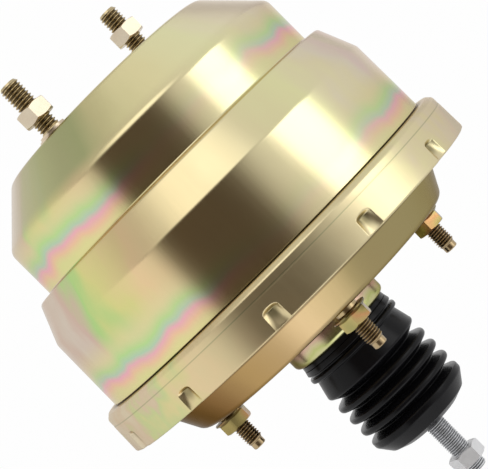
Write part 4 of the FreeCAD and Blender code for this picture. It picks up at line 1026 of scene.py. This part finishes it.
def boot():
    """The bellows go with the housing, and the end lobe stays where it is made."""
    bellows = list(BOOT_COLLAR)
    for i, valley in enumerate(BOOT_VALLEYS):
        bellows.append((valley - 0.15 * MM, BOOT_VALLEY_R, 0.3 * MM))
        bellows.append((valley + 0.15 * MM, BOOT_VALLEY_R, 0.3 * MM))
        if i < len(BOOT_VALLEYS) - 1:
            middle = (valley + BOOT_VALLEYS[i + 1]) / 2
            bellows.append((middle - 1.2 * MM, BOOT_TIP_R, 1.5 * MM))
            bellows.append((middle + 1.2 * MM, BOOT_TIP_R, 1.5 * MM))
    bellows.append((BOOT_SPLIT + 0.2 * MM, BOOT_TIP_R, 1.5 * MM))
    bellows.append((BOOT_SPLIT + 1.5 * MM, BOOT_TIP_R))
    pieces = []
    for name, line in (("boot_bellows", bellows), ("boot_end", BOOT_LOBE)):
        part = turned(rounded(line), even(BOOT_TURNS))
        made = sheet_piece(name, [part], materials["boot_rubber"], BOOT_WALL)
        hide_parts("boot")
        pieces.append(made)
    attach(pieces[0], "housing")
    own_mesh(pieces[0])
    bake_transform(pieces[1])


def soft_ring(name, node, section, rounding, centre=(0, 0)):
    """A moulded rubber ring from the corners of its section in millimetres, all rounded."""
    corners = [(x * MM, r * MM, rounding * MM) for x, r in section]
    start = tuple((a + b) / 2 for a, b in zip(corners[0][:2], corners[-1][:2]))
    line = dense(rounded([start, *corners, start], 5), 2.5 * MM)
    made = piece(name, [turned(line, even(RING_TURNS), centre)], materials["seal_rubber"])
    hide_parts(node)
    return made


def soft_rings():
    """Seals go with the housing. The diaphragms stay where they are made."""
    for name, (section, rounding, centre) in SEALS.items():
        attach(soft_ring(name + "_ring", name, section, rounding, centre), "housing")
    for name, (section, fixed, moved) in DIAPHRAGMS.items():
        made = soft_ring(name + "_sheet", name, section, DIAPHRAGM_ROUNDING)
        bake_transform(made)


def sheet_piece(name, parts, material, wall):
    """A sheet from several sets of vertices and faces, with its wall behind them."""
    mesh = joined(name, parts)
    mesh.shade_smooth()
    mesh.set_sharp_from_angle(angle=math.radians(SHARP_SHEET))
    shape = bmesh.new()
    shape.from_mesh(mesh)
    for edge in shape.edges:
        if edge.is_boundary:
            edge.smooth = False
    shape.to_mesh(mesh)
    shape.free()
    mesh.materials.append(material)
    made = add_object(name, mesh)
    thick = made.modifiers.new("wall", "SOLIDIFY")
    thick.thickness = wall
    thick.offset = -1
    return made


def plate(x, facing, outer_r, holes):
    """Vertices and faces of a flat sheet across X with round holes, from (radius, y, z)."""
    curve = bpy.data.curves.new("plate", "CURVE")
    curve.dimensions = "2D"
    curve.fill_mode = "FRONT"
    turns = even(PLATE_TURNS)
    for radius, y, z in [(outer_r, 0, 0), *holes]:
        ring = curve.splines.new("POLY")
        ring.points.add(len(turns) - 1)
        for point, turn in zip(ring.points, turns):
            point.co = (y + radius * math.cos(turn), z + radius * math.sin(turn), 0, 1)
        ring.use_cyclic_u = True
    holder = add_object("plate", curve)
    settled = holder.evaluated_get(bpy.context.evaluated_depsgraph_get())
    flat = bpy.data.meshes.new_from_object(settled)
    bpy.data.objects.remove(holder)
    verts = [(x, v.co.x, v.co.y) for v in flat.vertices]
    faces = []
    for polygon in flat.polygons:
        corners = list(polygon.vertices)
        if polygon.normal.z * facing < 0:
            corners.reverse()
        faces.append(tuple(corners))
    return verts, faces


def lance_cut(x, turn):
    """How deep the lances go into the skirt at x and this turn."""
    if x <= LANCE_FROM:
        return 0
    share = min((x - LANCE_FROM) / (LANCE_TO - LANCE_FROM), 1)
    front = 1 - min((x - LANCE_FROM) / LANCE_WALL, 1)
    half = (LANCE_HALF[0] + (LANCE_HALF[1] - LANCE_HALF[0]) * share) * math.sqrt(1 - front * front)
    depth = LANCE_DEPTH[0] + (LANCE_DEPTH[1] - LANCE_DEPTH[0]) * share
    depth *= smooth(x, LANCE_FROM, LANCE_FROM + LANCE_WALL)
    sector = TAU / LANCES
    off = (turn + sector / 2) % sector - sector / 2
    aside = abs(FRONT_LINE[-1][1] * math.sin(off)) / half
    return depth * (1 - aside ** LANCE_POWER) if aside < 1 else 0


def shell_turns():
    """Turns round the skirt, closer together across each lance."""
    sector = TAU / LANCES
    half = math.asin(LANCE_HALF[1] / FRONT_LINE[-1][1]) * LANCE_MARGIN
    rest = sector - 2 * half
    turns = []
    for i in range(LANCES):
        turns += [sector * i - half + 2 * half * k / LANCE_TURNS for k in range(LANCE_TURNS)]
        turns += [sector * i + half + rest * k / SKIRT_TURNS for k in range(SKIRT_TURNS)]
    return turns


def front_shell():
    line = rounded(FRONT_LINE)
    skirt_x, skirt_r = line[-2]
    edge_x, edge_r = line[-1]
    slope = (edge_r - skirt_r) / (edge_x - skirt_x)
    rows = [LANCE_FROM]
    while rows[-1] + LANCE_STEP < edge_x:
        rows.append(rows[-1] + LANCE_STEP)
    seam, *rows = [(x, skirt_r + slope * (x - skirt_x)) for x in (SKIRT_SEAM, *rows)]
    body = turned([*line[:-1], seam], even(BODY_TURNS))
    skirt = turned([seam, *rows, line[-1], *SKIRT_EDGE], shell_turns(), cut=lance_cut)
    holes = [(PILOT_R, 0, 0), (PORT_HOLE_R, *PORT_PLACE)]
    holes += [(FRONT_COLLAR_R + COLLAR_HOLE_OVER, y, 0) for y in (-MOUNT_HALF, MOUNT_HALF)]
    flat = plate(FRONT_FACE, -1, PLATE_R, holes)
    zinc = materials["yellow_zinc"]
    made = sheet_piece("front_shell_sheet", [body, skirt, flat], zinc, SHEET)
    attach(made, "housing")
    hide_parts("front_shell")


def rear_shell():
    parts = [turned(rounded(line, 12), even(DOME_TURNS)) for line in (DOME_LINE, HUB_LINE)]
    sides = (-MOUNT_HALF, MOUNT_HALF)
    collars = [(REAR_COLLAR_R + COLLAR_HOLE_OVER, y, z) for y in sides for z in sides]
    parts.append(plate(0, 1, REAR_PLATE_R, [(REAR_FOOT_R, 0, 0), *collars]))
    made = sheet_piece("rear_shell_sheet", parts, dome_zinc, SHEET)
    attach(made, "housing")
    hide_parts("rear_shell")


def coil(x0, x1, r0, r1, turns, wire):
    """Vertices and faces of a coil spring with a flat coil at each end."""
    around = COIL_AROUND
    count = int(turns * COIL_STEPS)
    inset = math.copysign(wire, x1 - x0)
    verts = []
    for i in range(count + 1):
        turn = turns * i / count
        free = min(max((turn - COIL_FLAT) / (turns - 2 * COIL_FLAT), 0), 1)
        x = x0 + inset + (x1 - x0 - 2 * inset) * free
        r = r0 + (r1 - r0) * free
        out = Vector((0, math.cos(TAU * turn), math.sin(TAU * turn)))
        for angle in even(around):
            ahead = Vector((wire * math.sin(angle), 0, 0))
            verts.append(tuple(Vector((x, 0, 0)) + out * (r + wire * math.cos(angle)) + ahead))
    faces = [quad(i, j, around) for i in range(count) for j in range(around)]
    faces.append(tuple(range(around)))
    faces.append(tuple(count * around + j for j in reversed(range(around))))
    return verts, faces


def springs():
    """The return spring spans housing and piston. The rod's spring goes with the power piston."""
    steel = materials["spring_steel"]
    low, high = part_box("return_spring")
    made = piece("return_spring_coil", [coil(low.x, high.x, *RETURN_COIL)], steel)
    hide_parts("return_spring")
    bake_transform(made)
    low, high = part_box("rod_return_spring")
    made = piece("rod_spring_coil", [coil(low.x, high.x, *ROD_COIL)], steel)
    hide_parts("rod_return_spring")
    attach(made, "power_piston")
    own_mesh(made)


def stage():
    """Pale floor well below the part, white to the camera and in reflections. In reflections its
    glow fades towards -X and has a painted shadow under the part's rear half.
    """
    m = Nodes("floor")
    dust = m.noise(m.place, 3, detail=2)
    m.finish(m.mix(dust, (0.80, 0.80, 0.80), (0.84, 0.84, 0.84)), Roughness=0.8)
    glow = m.add("ShaderNodeEmission")
    rays = m.add("ShaderNodeLightPath").outputs
    x, y, _ = m.split(m.place)
    # Painted shadow under the part's rear half, and painted light that fades towards -X, both seen
    # only in reflections.
    under_shadow = m.times(m.between(x, *UNDER_X), m.between(y, *UNDER_Y))
    painted_lit = m.times(m.between(x, *FLOOR_LIT), m.minus(1, m.times(under_shadow, UNDER_SHARE)))
    seen = m.maths("MAXIMUM", rays["Is Camera Ray"], m.times(rays["Is Glossy Ray"], painted_lit))
    seen = m.maths("MAXIMUM", seen, rays["Is Transmission Ray"])
    both = m.add("ShaderNodeMixShader")
    m.join(m.times(seen, FLOOR_WHITE), both.inputs[0])
    m.join(m.shader.outputs[0], both.inputs[1])
    m.join(glow.outputs[0], both.inputs[2])
    m.join(both.outputs[0], m.tree.nodes["Material Output"].inputs["Surface"])
    low = cad_box[0][2] - FLOOR_DROP
    half = FLOOR_HALF
    verts = [(-half, -half, low), (half, -half, low), (half, half, low), (-half, half, low)]
    mesh = joined("floor", [(verts, [(0, 1, 2, 3)])])
    mesh.materials.append(m.material)
    floor = add_object("floor", mesh)


def surroundings():
    """A pale tent with one dark side, behind the camera, and a soft light on each side of that."""
    world = bpy.data.worlds.new("studio")
    bpy.context.scene.world = world
    world.use_nodes = True
    g = Graph(world.node_tree)
    way = g.add("ShaderNodeTexCoord").outputs["Generated"]
    x, y, z = g.split(way)

    def soft_light(direction, strength):
        node = g.add("ShaderNodeVectorMath", operation="DOT_PRODUCT")
        g.join(way, node.inputs[0])
        node.inputs[1].default_value = Vector(direction).normalized()
        edges = (math.cos(math.radians(angle)) for angle in LIGHT_ANGLES)
        return g.times(g.between(node.outputs["Value"], *edges), strength)

    aside = g.between(g.maths("ABSOLUTE", x), *DARK_ASIDE)
    dark = g.times(g.between(y, *DARK_BEHIND), g.between(z, *DARK_TOP))
    dark = g.times(g.times(dark, aside), g.between(z, *DARK_FOOT))
    light = g.plus(g.plus(TENT, soft_light(*LEFT_LIGHT)), soft_light(*RIGHT_LIGHT))
    seen = g.add("ShaderNodeLightPath").outputs["Is Camera Ray"]
    light = g.maths("MAXIMUM", light, g.times(seen, FLOOR_WHITE))
    dark = g.times(dark, g.minus(1, seen))
    g.join(g.mix(dark, light, DARK_SIDE), g.tree.nodes["Background"].inputs["Color"])


def lamp():
    """One soft square lamp high above the part."""
    light = bpy.data.lights.new("top_softbox", "AREA")
    light.shape = "SQUARE"
    light.size = LAMP_SIZE
    light.energy = LAMP_POWER
    made = add_object("top_softbox", light)
    made.location = LAMP_PLACE
    way = Vector(LAMP_AIM) - Vector(LAMP_PLACE)
    made.rotation_euler = way.to_track_quat("-Z", "Y").to_euler()


def camera():
    """The photograph's camera, rolled so that the part's axis runs down the frame's diagonal."""
    across = Vector((1, 0, 0))
    upward = Vector((0, math.sin(CAMERA_TILT), math.cos(CAMERA_TILT)))
    backward = (CAMERA_PLACE - CAMERA_AIM).normalized()
    right = (across + upward).normalized()
    right = (right - backward * right.dot(backward)).normalized()
    up = backward.cross(right)
    data = bpy.data.cameras.new("camera")
    data.lens = CAMERA_LENS
    data.sensor_width = CAMERA_SENSOR
    data.clip_start = CAMERA_CLIP
    made = add_object("camera", data)
    turn = Matrix((right, up, backward)).transposed().to_4x4()
    made.matrix_world = Matrix.Translation(CAMERA_PLACE) @ turn
    bpy.context.scene.camera = made


front_shell()
rear_shell()
rear_studs()
front_studs()
push_rod()
boot()
soft_rings()
springs()
stage()
surroundings()
lamp()
camera()
bpy.context.scene.view_settings.view_transform = "Standard"
